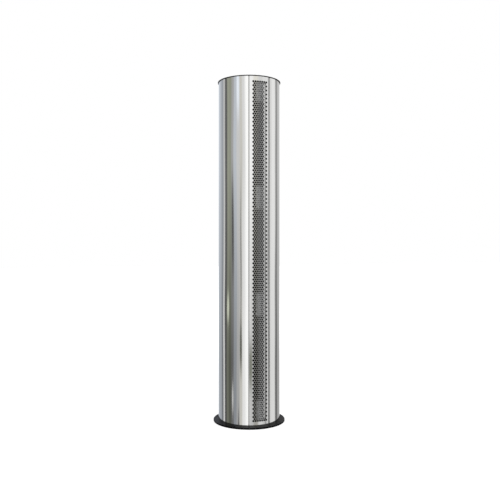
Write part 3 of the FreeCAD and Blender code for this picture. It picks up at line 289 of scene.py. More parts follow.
class FoldedPath:
    """Plan of a rolled sheet with folded legs: points along its outer and inner skin.

    The path runs up one leg, round the fold, along the arc, round the other fold and down the
    second leg. A fold is a quarter-like turn of even steps between the arc's end and the leg.
    A leg runs back, against the facing, by leg_end, or else across until it is leg_end from the
    middle. A point at path length s and depth d lies between the outer skin, d = 0, and the
    inner skin, d = 1; s is 0 in the middle of the arc.
    """

    def __init__(self, facing, half_angle, leg_end, leg_runs_back):
        self.half_angle = half_angle
        reach = CASING_RADIUS * math.sin(half_angle)
        rise = CASING_RADIUS * math.cos(half_angle)
        if leg_runs_back:
            leg, foot = (-1.0, 0.0), (rise - leg_end, reach)
        else:
            leg, foot = (0.0, -1.0), (rise, leg_end)
        thick = sizes().sheet
        outer, normal = self._half(CASING_RADIUS, sizes().fold, leg, foot)
        inner = outer - normal * thick
        mirror = np.array([1.0, -1.0])
        outer = np.vstack([outer[:0:-1] * mirror, outer])
        inner = np.vstack([inner[:0:-1] * mirror, inner])
        normal = np.vstack([normal[:0:-1] * mirror, normal])
        span = np.concatenate([[0.0],
                               np.cumsum(np.linalg.norm(np.diff(outer, axis=0), axis=1))])
        self.s = span - span[-1] / 2
        self.outer = self._turn(outer, facing)
        self.inner = self._turn(inner, facing)
        self.normal = self._turn(normal, facing)

    def _half(self, radius, fold, leg, foot):
        """Skin points and outward normals from the middle of the arc to the leg's end."""
        leg = np.array(leg)
        end_normal = np.array([-leg[1], leg[0]])
        end_normal = end_normal * np.sign(end_normal @ np.array(foot))
        if leg[0] == 0.0:
            end_normal = -end_normal
        corner = self.half_angle
        start = math.atan2(end_normal[1], end_normal[0])
        sweep = (start - corner) % (2 * math.pi)
        back = fold * math.tan(sweep / 2)
        steps = int(math.ceil(self.half_angle / sizes().arc_step))
        angles = np.linspace(0.0, corner - back / radius, steps + 1)
        arc_normal = np.stack([np.cos(angles), np.sin(angles)], 1)
        arc = arc_normal * radius
        turn = np.linspace(angles[-1], angles[-1] + sweep + back / radius, FOLD_POINTS)[1:]
        fold_normal = np.stack([np.cos(turn), np.sin(turn)], 1)
        centre = arc[-1] - arc_normal[-1] * fold
        bend = centre + fold_normal * fold
        shift = (np.array(foot) - bend[-1]) @ end_normal
        bend = bend + np.outer(np.linspace(0, 1, FOLD_POINTS)[1:], end_normal * shift)
        points = np.vstack([arc, bend, foot])
        normals = np.vstack([arc_normal, fold_normal, end_normal])
        return points, normals

    @staticmethod
    def _turn(points, facing):
        """Turn plan points about the column axis."""
        cos, sin = math.cos(facing), math.sin(facing)
        return np.stack([points[:, 0] * cos - points[:, 1] * sin,
                         points[:, 0] * sin + points[:, 1] * cos], 1)

    def _along(self, s, columns):
        """Two columns of the path's table at path lengths."""
        return np.stack([np.interp(s, self.s, columns[:, axis]) for axis in (0, 1)], -1)

    def at(self, flat, depth):
        """Points in space for flat (s, z) points at a depth through the sheet."""
        s = flat[..., 0]
        plan = self._along(s, self.outer) * (1 - depth) + self._along(s, self.inner) * depth
        return np.concatenate([plan, flat[..., 1:]], -1)

    def facing(self, flat):
        """Outward normals for flat (s, z) points."""
        plan = self._along(flat[..., 0], self.normal)
        plan = plan / np.linalg.norm(plan, axis=-1, keepdims=True)
        return np.concatenate([plan, np.zeros_like(flat[..., 1:])], -1)


class RolledStrip:
    """Plan of a strip that lies against the inside of a rolled sheet: an arc about the column's
    axis, its outer skin at one radius and its inner skin a thickness nearer the axis. A point
    at arc length s lies s / radius round from the strip's facing."""

    def __init__(self, facing, radius, thick):
        self.middle = facing
        self.radius = radius
        self.thick = thick

    def facing(self, flat):
        """Outward normals for flat (s, z) points."""
        turn = self.middle + flat[..., 0] / self.radius
        return np.stack([np.cos(turn), np.sin(turn), np.zeros_like(turn)], -1)

    def at(self, flat, depth):
        """Points in space for flat (s, z) points at a depth through the strip."""
        points = self.facing(flat) * (self.radius - depth * self.thick)
        points[..., 2] = flat[..., 1]
        return points


def loose_edges(cells):
    """Directed edges of flat cells that no neighbour shares, the outline and the holes."""
    start = cells.reshape(-1, 2)
    end = np.roll(cells, -1, axis=1).reshape(-1, 2)
    keys = np.round(np.vstack([start, end]) / WELD).astype(np.int64)
    number = np.unique(keys, axis=0, return_inverse=True)[1].reshape(2, -1)
    forward = number[0] * (number.max() + 1) + number[1]
    backward = number[1] * (number.max() + 1) + number[0]
    alone = ~np.isin(forward, backward)
    return np.stack([start[alone], end[alone]], 1)


def face_normals(quads):
    """Plane normal of each quad from its diagonals."""
    normal = np.cross(quads[:, 2] - quads[:, 0], quads[:, 3] - quads[:, 1])
    return normal / np.linalg.norm(normal, axis=1, keepdims=True)


def sheet_object(name, path, cells, rim=None):
    """Bent sheet: flat (s, z) cells carried on the outer skin of a path and again on its inner
    skin, with a wall between the skins along every loose edge. The skins get the path's true
    normals, so that polished metal shows no facets. Where each corner's closeness to a hole's
    rim is given, from 0 to 1, it is kept as the points' rim attribute."""
    outer = path.at(cells, 0.0)
    inner = path.at(cells[:, ::-1], 1.0)
    rims = loose_edges(cells)
    walls = np.stack([path.at(rims[:, 0], 0.0), path.at(rims[:, 0], 1.0),
                      path.at(rims[:, 1], 1.0), path.at(rims[:, 1], 0.0)], 1)
    quads = np.concatenate([outer, inner, walls])
    flat = face_normals(walls)[:, None, :].repeat(4, axis=1)
    normals = np.concatenate([path.facing(cells), -path.facing(cells[:, ::-1]), flat])
    points, index = np.unique(np.round(quads.reshape(-1, 3) / WELD).astype(np.int64),
                              axis=0, return_inverse=True)
    mesh = bpy.data.meshes.new(name)
    mesh.from_pydata((points * WELD).tolist(), [], index.reshape(-1, 4).tolist())
    mesh.polygons.foreach_set("use_smooth", np.ones(len(quads), dtype=bool))
    mesh.update()
    mesh.normals_split_custom_set(normals.reshape(-1, 3).tolist())
    # The rim attribute is the mask of the painted shade at the holes' rims.
    if rim is not None:
        close = np.zeros(len(points), dtype=np.float32)
        skins = index.reshape(-1, 4)[:2 * len(cells)]
        np.maximum.at(close, skins, np.concatenate([rim, rim[:, ::-1]]))
        mesh.attributes.new("rim", "FLOAT", "POINT").data.foreach_set("value", close)
    thing = bpy.data.objects.new(name, mesh)
    bpy.context.scene.collection.objects.link(thing)
    return thing


def grid_cells(across, up, open_boxes=()):
    """Flat cells of a grid of arc lengths and heights, less those inside open boxes."""
    low = np.stack(np.meshgrid(across[:-1], up[:-1], indexing="ij"), -1).reshape(-1, 2)
    high = np.stack(np.meshgrid(across[1:], up[1:], indexing="ij"), -1).reshape(-1, 2)
    middle = (low + high) / 2
    solid = np.ones(len(low), dtype=bool)
    for (left, bottom), (right, top) in open_boxes:
        inside = ((middle > (left, bottom)) & (middle < (right, top))).all(axis=1)
        solid &= ~inside
    low, high = low[solid], high[solid]
    return np.stack([low, np.stack([high[:, 0], low[:, 1]], 1), high,
                     np.stack([low[:, 0], high[:, 1]], 1)], 1)


def strip_cells(line, across):
    """Flat cells between a zigzag line and upright lines at given arc lengths beside it."""
    columns = [np.full(len(line), s) for s in across] + [line[:, 0]]
    cells = []
    for left, right in zip(columns[:-1], columns[1:]):
        a = np.stack([left, line[:, 1]], 1)
        b = np.stack([right, line[:, 1]], 1)
        cells.append(np.stack([a[:-1], b[:-1], b[1:], a[1:]], 1))
    return np.concatenate(cells)


def hole_rows(low, high):
    """Heights of the hole rows of a panel, long and short in turn, as many as fit. Long rows
    lie the pitch times the square root of three apart, and short rows half way between."""
    row_step = sizes().hole_pitch * math.sqrt(3)
    long_rows = int((high - low - 2 * sizes().hole_margin) / row_step) + 1
    first = (low + high - (long_rows - 1) * row_step) / 2
    return first + np.arange(2 * long_rows - 1) * row_step / 2


def row_centres(left, height, count):
    """Centres of a row of holes, a pitch apart from the left one on."""
    return np.stack([left + sizes().hole_pitch * np.arange(count), np.full(count, height)], 1)


def holed_hexagon():
    """Twelve flat cells about a hole's centre that join a hexagon's corners and edge middles to
    the hole's rim. The hexagon reaches out by half a pitch over the cosine of the angle from
    its nearest edge middle."""
    bearing = np.arange(0, 360, 30)
    ring = np.stack([np.cos(np.radians(bearing)), np.sin(np.radians(bearing))], 1)
    reach = sizes().hole_pitch / 2 / np.cos(np.radians((bearing + 30) % 60 - 30))
    hexagon = ring * reach[:, None]
    rim = ring * sizes().hole_diameter / 2
    return np.stack([hexagon, np.roll(hexagon, -1, axis=0), np.roll(rim, -1, axis=0), rim], 1)


def perforated_cells(path, low, high):
    """Flat cells of a sheet with round holes on a 60 degree grid, and 1 for each corner on a
    hole's rim. Each hole sits in a hexagon. Strips join the hexagons' zigzag sides to the
    sheet's edges, and the teeth of the first and last row to its ends."""
    pitch = sizes().hole_pitch
    half = pitch / 2
    shoulder = pitch / (2 * math.sqrt(3))
    columns = sizes().hole_columns
    heights = hole_rows(low, high)
    rows = np.arange(len(heights))
    left_hole = -half * (columns - 1 - rows % 2)
    centres = np.concatenate([row_centres(left_hole[row], heights[row], columns - row % 2)
                              for row in rows])
    holes = (centres[:, None, None, :] + holed_hexagon()[None]).reshape(-1, 4, 2)

    side = left_hole - half
    sill = np.stack([np.stack([side, heights - shoulder], 1), np.stack([side, heights], 1),
                     np.stack([side, heights + shoulder], 1)], 1)
    between = (sill[:-1, 2] + sill[1:, 0]) / 2
    ragged = np.concatenate([np.concatenate([sill[:-1], between[:, None]], 1).reshape(-1, 2),
                             sill[-1]])
    margin = path.s[path.s < -abs(side[0]) - half / 4]
    left = strip_cells(ragged, margin)
    right = left[:, ::-1] * (-1, 1)

    tooth = np.stack([[-half, -shoulder], [-half / 2, -1.5 * shoulder], [0, -2 * shoulder],
                      [half / 2, -1.5 * shoulder]])
    bottom = row_centres(left_hole[0], heights[0], columns)[:, None] + tooth[None]
    edge = np.array([[s, heights[0] - shoulder] for s in margin])
    line = np.concatenate([edge, bottom.reshape(-1, 2), [[-side[0], heights[0] - shoulder]],
                           edge[::-1] * (-1, 1)])
    foot = np.stack([line[:, 0], np.full(len(line), low)], 1)
    below = np.stack([foot[:-1], foot[1:], line[1:], line[:-1]], 1)
    mirror = below[:, ::-1].copy()
    mirror[..., 1] = low + high - mirror[..., 1]
    cells = np.concatenate([holes, left, right, below, mirror])
    on_rim = np.zeros(cells.shape[:2], dtype=np.float32)
    # Rim corners get the full painted shade of the holes' rims.
    on_rim[:len(holes), 2:] = 1.0
    return cells, on_rim


def new_group(name, inputs, outputs):
    """Empty shader node group with float inputs, each with a default, and named outputs."""
    group = bpy.data.node_groups.new(name, "ShaderNodeTree")
    for label, default in inputs:
        socket = group.interface.new_socket(
            name=label, in_out="INPUT", socket_type="NodeSocketFloat")
        socket.default_value = default
    for label in outputs:
        group.interface.new_socket(
            name=label, in_out="OUTPUT", socket_type="NodeSocketFloat")
    nodes = group.nodes
    return group, nodes.new("NodeGroupInput"), nodes.new("NodeGroupOutput")


def feed(tree, socket, value):
    """Give a node's input another node's output, or else a plain value."""
    if isinstance(value, bpy.types.NodeSocket):
        tree.links.new(value, socket)
    else:
        socket.default_value = value


def reckon(tree, operation, *values):
    """Result of a sum on outputs of nodes and plain numbers."""
    node = tree.nodes.new("ShaderNodeMath")
    node.operation = operation
    for socket, value in zip(node.inputs, values):
        feed(tree, socket, value)
    return node.outputs[0]


def mixed(tree, share, first, second):
    """Colour that goes from the first to the second as the share goes from 0 to 1."""
    node = tree.nodes.new("ShaderNodeMix")
    node.data_type = "RGBA"
    for label, value in (("Factor", share), ("A", first), ("B", second)):
        feed(tree, node.inputs[label], value)
    return node.outputs["Result"]


def stretched_noise(tree, scale, detail):
    """Noise on Object coordinates with its own scale along each axis."""
    nodes, links = tree.nodes, tree.links
    place = nodes.new("ShaderNodeTexCoord")
    mapping = nodes.new("ShaderNodeMapping")
    mapping.inputs["Scale"].default_value = scale
    noise = nodes.new("ShaderNodeTexNoise")
    noise.inputs["Scale"].default_value = 1.0
    noise.inputs["Detail"].default_value = detail
    links.new(place.outputs["Object"], mapping.inputs["Vector"])
    links.new(mapping.outputs["Vector"], noise.inputs["Vector"])
    return noise.outputs["Fac"]


def ranged(tree, source, low, high):
    """Map the used part of a noise's range to the values low..high of a group input."""
    node = tree.nodes.new("ShaderNodeMapRange")
    node.inputs["From Min"].default_value = NOISE_LOW
    node.inputs["From Max"].default_value = NOISE_HIGH
    tree.links.new(source, node.inputs["Value"])
    tree.links.new(low, node.inputs["To Min"])
    tree.links.new(high, node.inputs["To Max"])
    return node.outputs["Result"]


def rolled_sheet_group():
    """Mill sheet: long upright waves for the bump, fine polish lines in the roughness."""
    group, source, sink = new_group(
        "Rolled Sheet", [("Rough Low", 0.05), ("Rough High", 0.12)], ["Height", "Roughness"])
    waves = stretched_noise(group, SHEET_WAVES, 1.0)
    lines = stretched_noise(group, POLISH_LINES, 2.0)
    group.links.new(waves, sink.inputs["Height"])
    rough = ranged(group, lines, source.outputs["Rough Low"], source.outputs["Rough High"])
    group.links.new(rough, sink.inputs["Roughness"])
    return group


def grained_group():
    """Coated or cast skin: fine pimples for the bump, patchy roughness and shade."""
    group, source, sink = new_group(
        "Grained Skin", [("Rough Low", 0.35), ("Rough High", 0.5)],
        ["Height", "Roughness", "Shade"])
    fine = stretched_noise(group, COAT_PIMPLES, 1.0)
    patches = stretched_noise(group, COAT_PATCHES, 3.0)
    group.links.new(fine, sink.inputs["Height"])
    rough = ranged(group, patches, source.outputs["Rough Low"], source.outputs["Rough High"])
    group.links.new(rough, sink.inputs["Roughness"])
    group.links.new(patches, sink.inputs["Shade"])
    return group


def spangle_group():
    """Hot-dip zinc: flat crystals with their own shade and gloss."""
    group, source, sink = new_group(
        "Zinc Spangle", [("Crystals", 90.0), ("Rough Low", 0.32), ("Rough High", 0.5)],
        ["Shade", "Roughness"])
    nodes, links = group.nodes, group.links
    place = nodes.new("ShaderNodeTexCoord")
    cells = nodes.new("ShaderNodeTexVoronoi")
    split = nodes.new("ShaderNodeSeparateColor")
    rough = nodes.new("ShaderNodeMapRange")
    links.new(source.outputs["Rough Low"], rough.inputs["To Min"])
    links.new(source.outputs["Rough High"], rough.inputs["To Max"])
    links.new(place.outputs["Object"], cells.inputs["Vector"])
    links.new(source.outputs["Crystals"], cells.inputs["Scale"])
    links.new(cells.outputs["Color"], split.inputs["Color"])
    links.new(split.outputs["Red"], sink.inputs["Shade"])
    links.new(split.outputs["Green"], rough.inputs["Value"])
    links.new(rough.outputs["Result"], sink.inputs["Roughness"])
    return group


def group_named(name):
    """Shared effect group, built once."""
    builders = {"Rolled Sheet": rolled_sheet_group, "Grained Skin": grained_group,
                "Zinc Spangle": spangle_group}
    return bpy.data.node_groups.get(name) or builders[name]()


def new_finish(name, effect, metallic, values=()):
    """Material with a Principled shader and one shared effect placed in it."""
    material = bpy.data.materials.new(name)
    material.use_nodes = True
    nodes = material.node_tree.nodes
    shader = nodes["Principled BSDF"]
    shader.inputs["Metallic"].default_value = metallic
    group = nodes.new("ShaderNodeGroup")
    group.node_tree = group_named(effect)
    for label, number in values:
        group.inputs[label].default_value = number
    material.node_tree.links.new(group.outputs["Roughness"], shader.inputs["Roughness"])
    return material, shader, group


def blend(material, shader, source, start, first, end, second):
    """Base colour that goes from one colour to another as a value goes from start to end."""
    ramp = material.node_tree.nodes.new("ShaderNodeValToRGB")
    for element, position, colour in zip(ramp.color_ramp.elements, (start, end),
                                         (first, second)):
        element.position = position
        element.color = (*colour, 1.0)
    material.node_tree.links.new(source, ramp.inputs["Fac"])
    material.node_tree.links.new(ramp.outputs["Color"], shader.inputs["Base Color"])


def tint(material, shader, source, colour, spread):
    """Vary a colour by a shade between 1 - spread and 1 + spread of itself."""
    blend(material, shader, source,
          start=SHADE_LOW, first=[part * (1 - spread) for part in colour],
          end=SHADE_HIGH, second=[part * (1 + spread) for part in colour])


def raise_skin(material, shader, source, distance, strength):
    """Bump from a height."""
    bump = material.node_tree.nodes.new("ShaderNodeBump")
    bump.inputs["Distance"].default_value = distance
    bump.inputs["Strength"].default_value = strength
    material.node_tree.links.new(source, bump.inputs["Height"])
    material.node_tree.links.new(bump.outputs["Normal"], shader.inputs["Normal"])


def mirror_sheet(name):
    """Mirror-polished stainless sheet with slow waves and a faint haze, still without colour."""
    material, shader, group = new_finish(
        name, "Rolled Sheet", 1.0, [("Rough Low", 0.06), ("Rough High", 0.11)])
    raise_skin(material, shader, group.outputs["Height"], distance=0.002, strength=0.25)
    return material, shader


def polished_steel():
    """Mirror sheet in one colour."""
    material, shader = mirror_sheet("Polished Steel")
    shader.inputs["Base Color"].default_value = (*finishes().polished, 1.0)
    return material


def steel_with_painted_rim_shade():
    """Mirror sheet with painted shade: its colour darkens to near black towards the rims of its
    holes, standing in for the shade inside them.
    """
    material, shader = mirror_sheet("Steel With Painted Rim Shade")
    rim = material.node_tree.nodes.new("ShaderNodeAttribute")
    rim.attribute_name = "rim"
    # Painted shade: the base colour goes from polished steel to near black as the rim attribute
    # rises.
    blend(material, shader, rim.outputs["Fac"], start=0.0, first=finishes().polished,
          end=RIM_SHADE_FULL, second=finishes().painted_rim_shade)
    return material


def satin_metal(name, colour, low, high):
    """Drawn or plated metal with lines along the column."""
    material, shader, _ = new_finish(
        name, "Rolled Sheet", 1.0, [("Rough Low", low), ("Rough High", high)])
    shader.inputs["Base Color"].default_value = (*colour, 1.0)
    return material


def coated(name, colour, low, high, metallic=0.0, distance=0.00004, sheen=0.5):
    """Powder coat, anodised skin, casting, plastic or rubber with a fine grain."""
    material, shader, group = new_finish(
        name, "Grained Skin", metallic, [("Rough Low", low), ("Rough High", high)])
    shader.inputs["Specular IOR Level"].default_value = sheen
    tint(material, shader, group.outputs["Shade"], colour, spread=0.12)
    raise_skin(material, shader, group.outputs["Height"], distance, strength=0.6)
    return material


def galvanised():
    """Galvanised sheet."""
    material, shader, group = new_finish("Galvanised", "Zinc Spangle", 1.0)
    tint(material, shader, group.outputs["Shade"], finishes().zinc, spread=0.15)
    return material


def cover_with_painted_edge_shade():
    """Galvanised sheet with painted shade: near black and not metallic along each upright edge,
    where the cover lies in shadow behind the panel.
    """
    material, shader, _ = new_finish("Cover With Painted Edge Shade", "Zinc Spangle", 1.0)
    nodes, links = material.node_tree.nodes, material.node_tree.links
    place = nodes.new("ShaderNodeTexCoord")
    split = nodes.new("ShaderNodeSeparateXYZ")
    links.new(place.outputs["Object"], split.inputs["Vector"])
    unshaded = reckon(material.node_tree, "COMPARE", split.outputs["X"], sizes().unshaded_middle,
                  sizes().unshaded_half)
    links.new(unshaded, shader.inputs["Metallic"])
    # The rubber tone is used here as painted shade on the cover's edges.
    blend(material, shader, unshaded, start=0.0, first=finishes().rubber, end=1.0,
          second=finishes().zinc)
    return material


def dress(material, *names):
    """Give CAD nodes a finish."""
    for name in names:
        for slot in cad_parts[name].material_slots:
            slot.material = material


def stacked(stem, count=len(LEVELS)):
    """Names of a piece that repeats up the column."""
    return ["%s_%d" % (stem, level) for level in range(1, count + 1)]


class CURTAIN_OT_casings(bpy.types.Operator):
    """Rolled casing halves with folded legs"""
    bl_idname = "curtain.casings"
    bl_label = "Casings"

    def execute(self, context):
        low, high = float(CASING_LOW[2]), float(CASING_HIGH[2])
        half = math.acos(float(CASING_LOW[0]) / CASING_RADIUS)
        steel = polished_steel()
        for name, node, facing in (("casing_right", "right_casing", 0.0),
                                   ("casing_left", "left_casing", math.pi)):
            path = FoldedPath(facing, half, POST_FACE, leg_runs_back=False)
            piece = sheet_object(name, path, grid_cells(path.s, np.array([low, high])))
            piece.data.materials.append(steel)
            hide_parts(node)
            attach(piece, "frame")
        return {"FINISHED"}


class CURTAIN_OT_intake_panel(bpy.types.Operator):
    """Perforated intake panel"""
    bl_idname = "curtain.intake_panel"
    bl_label = "Intake panel"

    def execute(self, context):
        half = math.asin(float(PANEL_HIGH[0]) / CASING_RADIUS)
        path = FoldedPath(-math.pi / 2, half, sizes().flange, leg_runs_back=True)
        cells, rim = perforated_cells(path, float(PANEL_LOW[2]), float(PANEL_HIGH[2]))
        piece = sheet_object("intake_sheet", path, cells, rim)
        piece.data.materials.append(steel_with_painted_rim_shade())
        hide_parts("intake_panel")
        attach(piece, "frame")
        return {"FINISHED"}


class CURTAIN_OT_panel_rail(bpy.types.Operator):
    """Upright stiffening rail against the back of the intake panel"""
    bl_idname = "curtain.panel_rail"
    bl_label = "Panel rail"

    def execute(self, context):
        heights = hole_rows(float(PANEL_LOW[2]), float(PANEL_HIGH[2]))
        strip = RolledStrip(-math.pi / 2, CASING_RADIUS - sizes().sheet - sizes().rail_gap,
                            sizes().sheet)
        middle, half = sizes().rail_middle, sizes().rail_width / 2
        across = np.linspace(middle - half, middle + half, RAIL_FACETS + 1)
        piece = sheet_object("panel_rail", strip, grid_cells(across, heights[[1, -2]]))
        piece.data.materials.append(bpy.data.materials["Polished Steel"])
        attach(piece, "frame")
        return {"FINISHED"}


class CURTAIN_OT_outlet_panel(bpy.types.Operator):
    """Rear panel with a window for each nozzle"""
    bl_idname = "curtain.outlet_panel"
    bl_label = "Outlet panel"

    def execute(self, context):
        gap = sizes().window_gap
        half = math.asin(float(OUTLET_HIGH[0]) / CASING_RADIUS)
        path = FoldedPath(math.pi / 2, half, sizes().flange, leg_runs_back=True)
        side = CASING_RADIUS * math.asin((float(NOZZLES[0][1][0]) + gap) / CASING_RADIUS)
        windows = [((-side, float(low[2]) - gap), (side, float(high[2]) + gap))
                   for low, high in NOZZLES]
        across = np.unique(np.concatenate([path.s, [-side, side]]))
        up = [float(OUTLET_LOW[2]), float(OUTLET_HIGH[2])]
        up += [edge[1] for window in windows for edge in window]
        piece = sheet_object("outlet_sheet", path,
                             grid_cells(across, np.array(sorted(up)), windows))
        piece.data.materials.append(bpy.data.materials["Polished Steel"])
        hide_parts("outlet_panel")
        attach(piece, "frame")
        return {"FINISHED"}


class CURTAIN_OT_base_and_lid(bpy.types.Operator):
    """Black powder coat of the base plate and the lid"""
    bl_idname = "curtain.base_and_lid"
    bl_label = "Base and lid"

    def execute(self, context):
        dress(coated("Black Coat", finishes().black, 0.3, 0.42, sheen=0.04), "base_plate",
              "top_cover")
        return {"FINISHED"}


class CURTAIN_OT_inner_frame(bpy.types.Operator):
    """Posts, plates, air guides and bay covers"""
    bl_idname = "curtain.inner_frame"
    bl_label = "Inner frame"

    def execute(self, context):
        dress(galvanised(), *stacked("motor_plate"), *stacked("bearing_plate"), "top_plate")
        dress(cover_with_painted_edge_shade(), *stacked("bay_cover", 4))
        # The near-black duct is painted shade of the column's inside.
        dress(coated("Duct With Painted Shade", finishes().duct_painted_shade, 0.5, 0.65), *stacked("scroll"),
              *stacked("tongue"))
        dress(satin_metal("Plated Steel", finishes().zinc, 0.25, 0.4), "post_front_left",
              "post_front_right", "post_rear_left", "post_rear_right", "button_screws",
              "lid_screws")
        return {"FINISHED"}


class CURTAIN_OT_fans(bpy.types.Operator):
    """Impellers, hubs, bearings and motors"""
    bl_idname = "curtain.fans"
    bl_label = "Fans"

    def execute(self, context):
        # The near-black impellers are painted shade of the column's inside.
        dress(satin_metal("Fan Sheet With Painted Shade", finishes().fan_painted_shade, 0.35, 0.5), *stacked("impeller"))
        dress(coated("Die Casting", finishes().cast, 0.45, 0.6, metallic=1.0, distance=0.0001),
              *stacked("motor_housing"), *stacked("upper_bearing"))
        dress(coated("Lacquered Core", finishes().core, 0.3, 0.45),
              *stacked("motor_stator"), *stacked("motor_rotor"))
        dress(coated("Rubber", finishes().rubber, 0.6, 0.8), *stacked("drive_hub"),
              "cable_grommet")
        return {"FINISHED"}


class CURTAIN_OT_outlets(bpy.types.Operator):
    """Outlet nozzles and turning vanes"""
    bl_idname = "curtain.outlets"
    bl_label = "Outlets"

    def execute(self, context):
        vanes = ["vane_%d_%s" % (level, side) for level in LEVELS
                 for side in ("left", "right")]
        dress(coated("Anodised Aluminium", finishes().aluminium, 0.45, 0.6, metallic=0.4,
                     distance=0.00002), *stacked("outlet_nozzle"), *vanes)
        return {"FINISHED"}


class CURTAIN_OT_electrics(bpy.types.Operator):
    """Terminal box and capacitors"""
    bl_idname = "curtain.electrics"
    bl_label = "Electrics"

    def execute(self, context):
        dress(coated("Box Plastic", finishes().plastic, 0.4, 0.55), "terminal_box",
              "terminal_box_lid")
        dress(satin_metal("Can Aluminium", finishes().aluminium, 0.3, 0.4), "run_capacitors")
        return {"FINISHED"}


def upright_wall(name, radius, low, high):
    """Cylinder round the stage: a circle of points carried from one height to another."""
    turn = np.linspace(0, 2 * np.pi, WALL_FACETS + 1)[:-1]
    ring = np.stack([np.cos(turn) * radius, np.sin(turn) * radius], 1)
    points = np.vstack([np.column_stack([ring, np.full(WALL_FACETS, z)]) for z in (low, high)])
    here = np.arange(WALL_FACETS)
    after = np.roll(here, -1)
    quads = np.stack([here, here + WALL_FACETS, after + WALL_FACETS, after], 1)
    mesh = bpy.data.meshes.new(name)
    mesh.from_pydata(points.tolist(), [], quads.tolist())
    wall = bpy.data.objects.new(name, mesh)
    bpy.context.scene.collection.objects.link(wall)
    return wall


def turn_share(azimuth):
    """Place of an azimuth in degrees on a ramp that runs once round, from -180 to 180."""
    return (azimuth + 180) / 360


def half_ramp(tree, place, cards, column):
    """Colour ramp of the cards on one side of the camera: even over a card, and from one card's
    light to the next one's in the gap between them."""
    ramp = tree.nodes.new("ShaderNodeValToRGB")
    elements = ramp.color_ramp.elements
    elements.remove(elements[1])
    stops = [(turn_share(edge), card) for card in cards for edge in card[:2]]
    for number, (position, card) in enumerate(stops):
        element = elements.new(position) if number else elements[0]
        element.position = position
        element.color = [card[column] * part for part in card[TINT]] + [1.0]
    tree.links.new(place, ramp.inputs["Fac"])
    return ramp.outputs["Color"]


def card_light(tree, place, column):
    """Light of the cards, high or low: one ramp left of the front card's middle, one right."""
    side = reckon(tree, "GREATER_THAN", place, turn_share(sum(FRONT_CARD[:2]) / 2))
    return mixed(tree, side, half_ramp(tree, place, LEFT_CARDS + [FRONT_CARD], column),
                 half_ramp(tree, place, [FRONT_CARD] + RIGHT_CARDS, column))


def hung_before(tree, oval, place, height, colour):
    """Mix an oval card over the wall's colour: the card's share falls smoothly from 1 in its
    core to 0 at its edge."""
    azimuth, half_width, middle, half_height, light, shade = oval
    nodes, links = tree.nodes, tree.links
    from_middle = nodes.new("ShaderNodeCombineXYZ")
    for axis, (source, centre, half) in enumerate((
            (place, turn_share(azimuth), half_width / 360), (height, middle, half_height))):
        links.new(reckon(tree, "MULTIPLY_ADD", source, 1 / half, -centre / half),
                  from_middle.inputs[axis])
    distance = nodes.new("ShaderNodeVectorMath")
    distance.operation = "LENGTH"
    share = nodes.new("ShaderNodeMapRange")
    share.interpolation_type = "SMOOTHSTEP"
    share.inputs["From Min"].default_value = 1.0
    share.inputs["From Max"].default_value = OVAL_CORE
    links.new(from_middle.outputs[0], distance.inputs[0])
    links.new(distance.outputs["Value"], share.inputs["Value"])
    return mixed(tree, share.outputs["Result"], colour, [light * part for part in shade] + [1.0])


def wall_material():
    """Light of the reflection wall: cards by azimuth from the camera, mixed by height, with the
    ovals over them. The azimuth is the arc tangent of x over -y less the camera's, in full
    turns, and a slow noise makes the cards' edges waver."""
    material = bpy.data.materials.new("Studio Wall")
    material.use_nodes = True
    tree = material.node_tree
    tree.nodes.remove(tree.nodes["Principled BSDF"])
    place = tree.nodes.new("ShaderNodeTexCoord")
    split = tree.nodes.new("ShaderNodeSeparateXYZ")
    tree.links.new(place.outputs["Object"], split.inputs["Vector"])
    height = split.outputs["Z"]
    front = reckon(tree, "MULTIPLY", split.outputs["Y"], -1.0)
    azimuth = reckon(tree, "ARCTAN2", split.outputs["X"], front)
    start = 0.5 - studio().azimuth / (2 * math.pi) - studio().card_shift
    turn = reckon(tree, "MULTIPLY_ADD", azimuth, 1 / (2 * math.pi), start)
    waver = stretched_noise(tree, CARD_DRIFT, 1.0)
    turn = reckon(tree, "FRACT", reckon(tree, "MULTIPLY_ADD", waver, studio().card_drift, turn))
    rise = tree.nodes.new("ShaderNodeMapRange")
    rise.inputs["From Min"].default_value = studio().low_light
    rise.inputs["From Max"].default_value = studio().high_light
    tree.links.new(height, rise.inputs["Value"])
    colour = mixed(tree, rise.outputs["Result"], card_light(tree, turn, LOW),
                   card_light(tree, turn, HIGH))
    for oval in OVALS:
        colour = hung_before(tree, oval, turn, height, colour)
    light = tree.nodes.new("ShaderNodeEmission")
    tree.links.new(colour, light.inputs["Color"])
    tree.links.new(light.outputs["Emission"], tree.nodes["Material Output"].inputs["Surface"])
    return material


def white_backdrop(tree, shader_output, target):
    """Plain white to the camera, mirrors and glass; the given shader to every other ray."""
    path = tree.nodes.new("ShaderNodeLightPath")
    plain = path.outputs["Is Camera Ray"]
    for ray in ("Is Glossy Ray", "Is Transmission Ray"):
        plain = reckon(tree, "MAXIMUM", plain, path.outputs[ray])
    white = tree.nodes.new("ShaderNodeBackground")
    white.inputs["Color"].default_value = (1, 1, 1, 1)
    white.inputs["Strength"].default_value = 1.0
    mix = tree.nodes.new("ShaderNodeMixShader")
    tree.links.new(plain, mix.inputs[0])
    tree.links.new(shader_output, mix.inputs[1])
    tree.links.new(white.outputs[0], mix.inputs[2])
    tree.links.new(mix.outputs[0], target)


def soft_world():
    """Even light all round behind a white backdrop."""
    world = bpy.data.worlds.new("Studio")
    world.use_nodes = True
    soft = world.node_tree.nodes["Background"]
    soft.inputs["Color"].default_value = (1, 1, 1, 1)
    soft.inputs["Strength"].default_value = studio().soft_light
    white_backdrop(world.node_tree, soft.outputs[0],
                   world.node_tree.nodes["World Output"].inputs["Surface"])
    return world


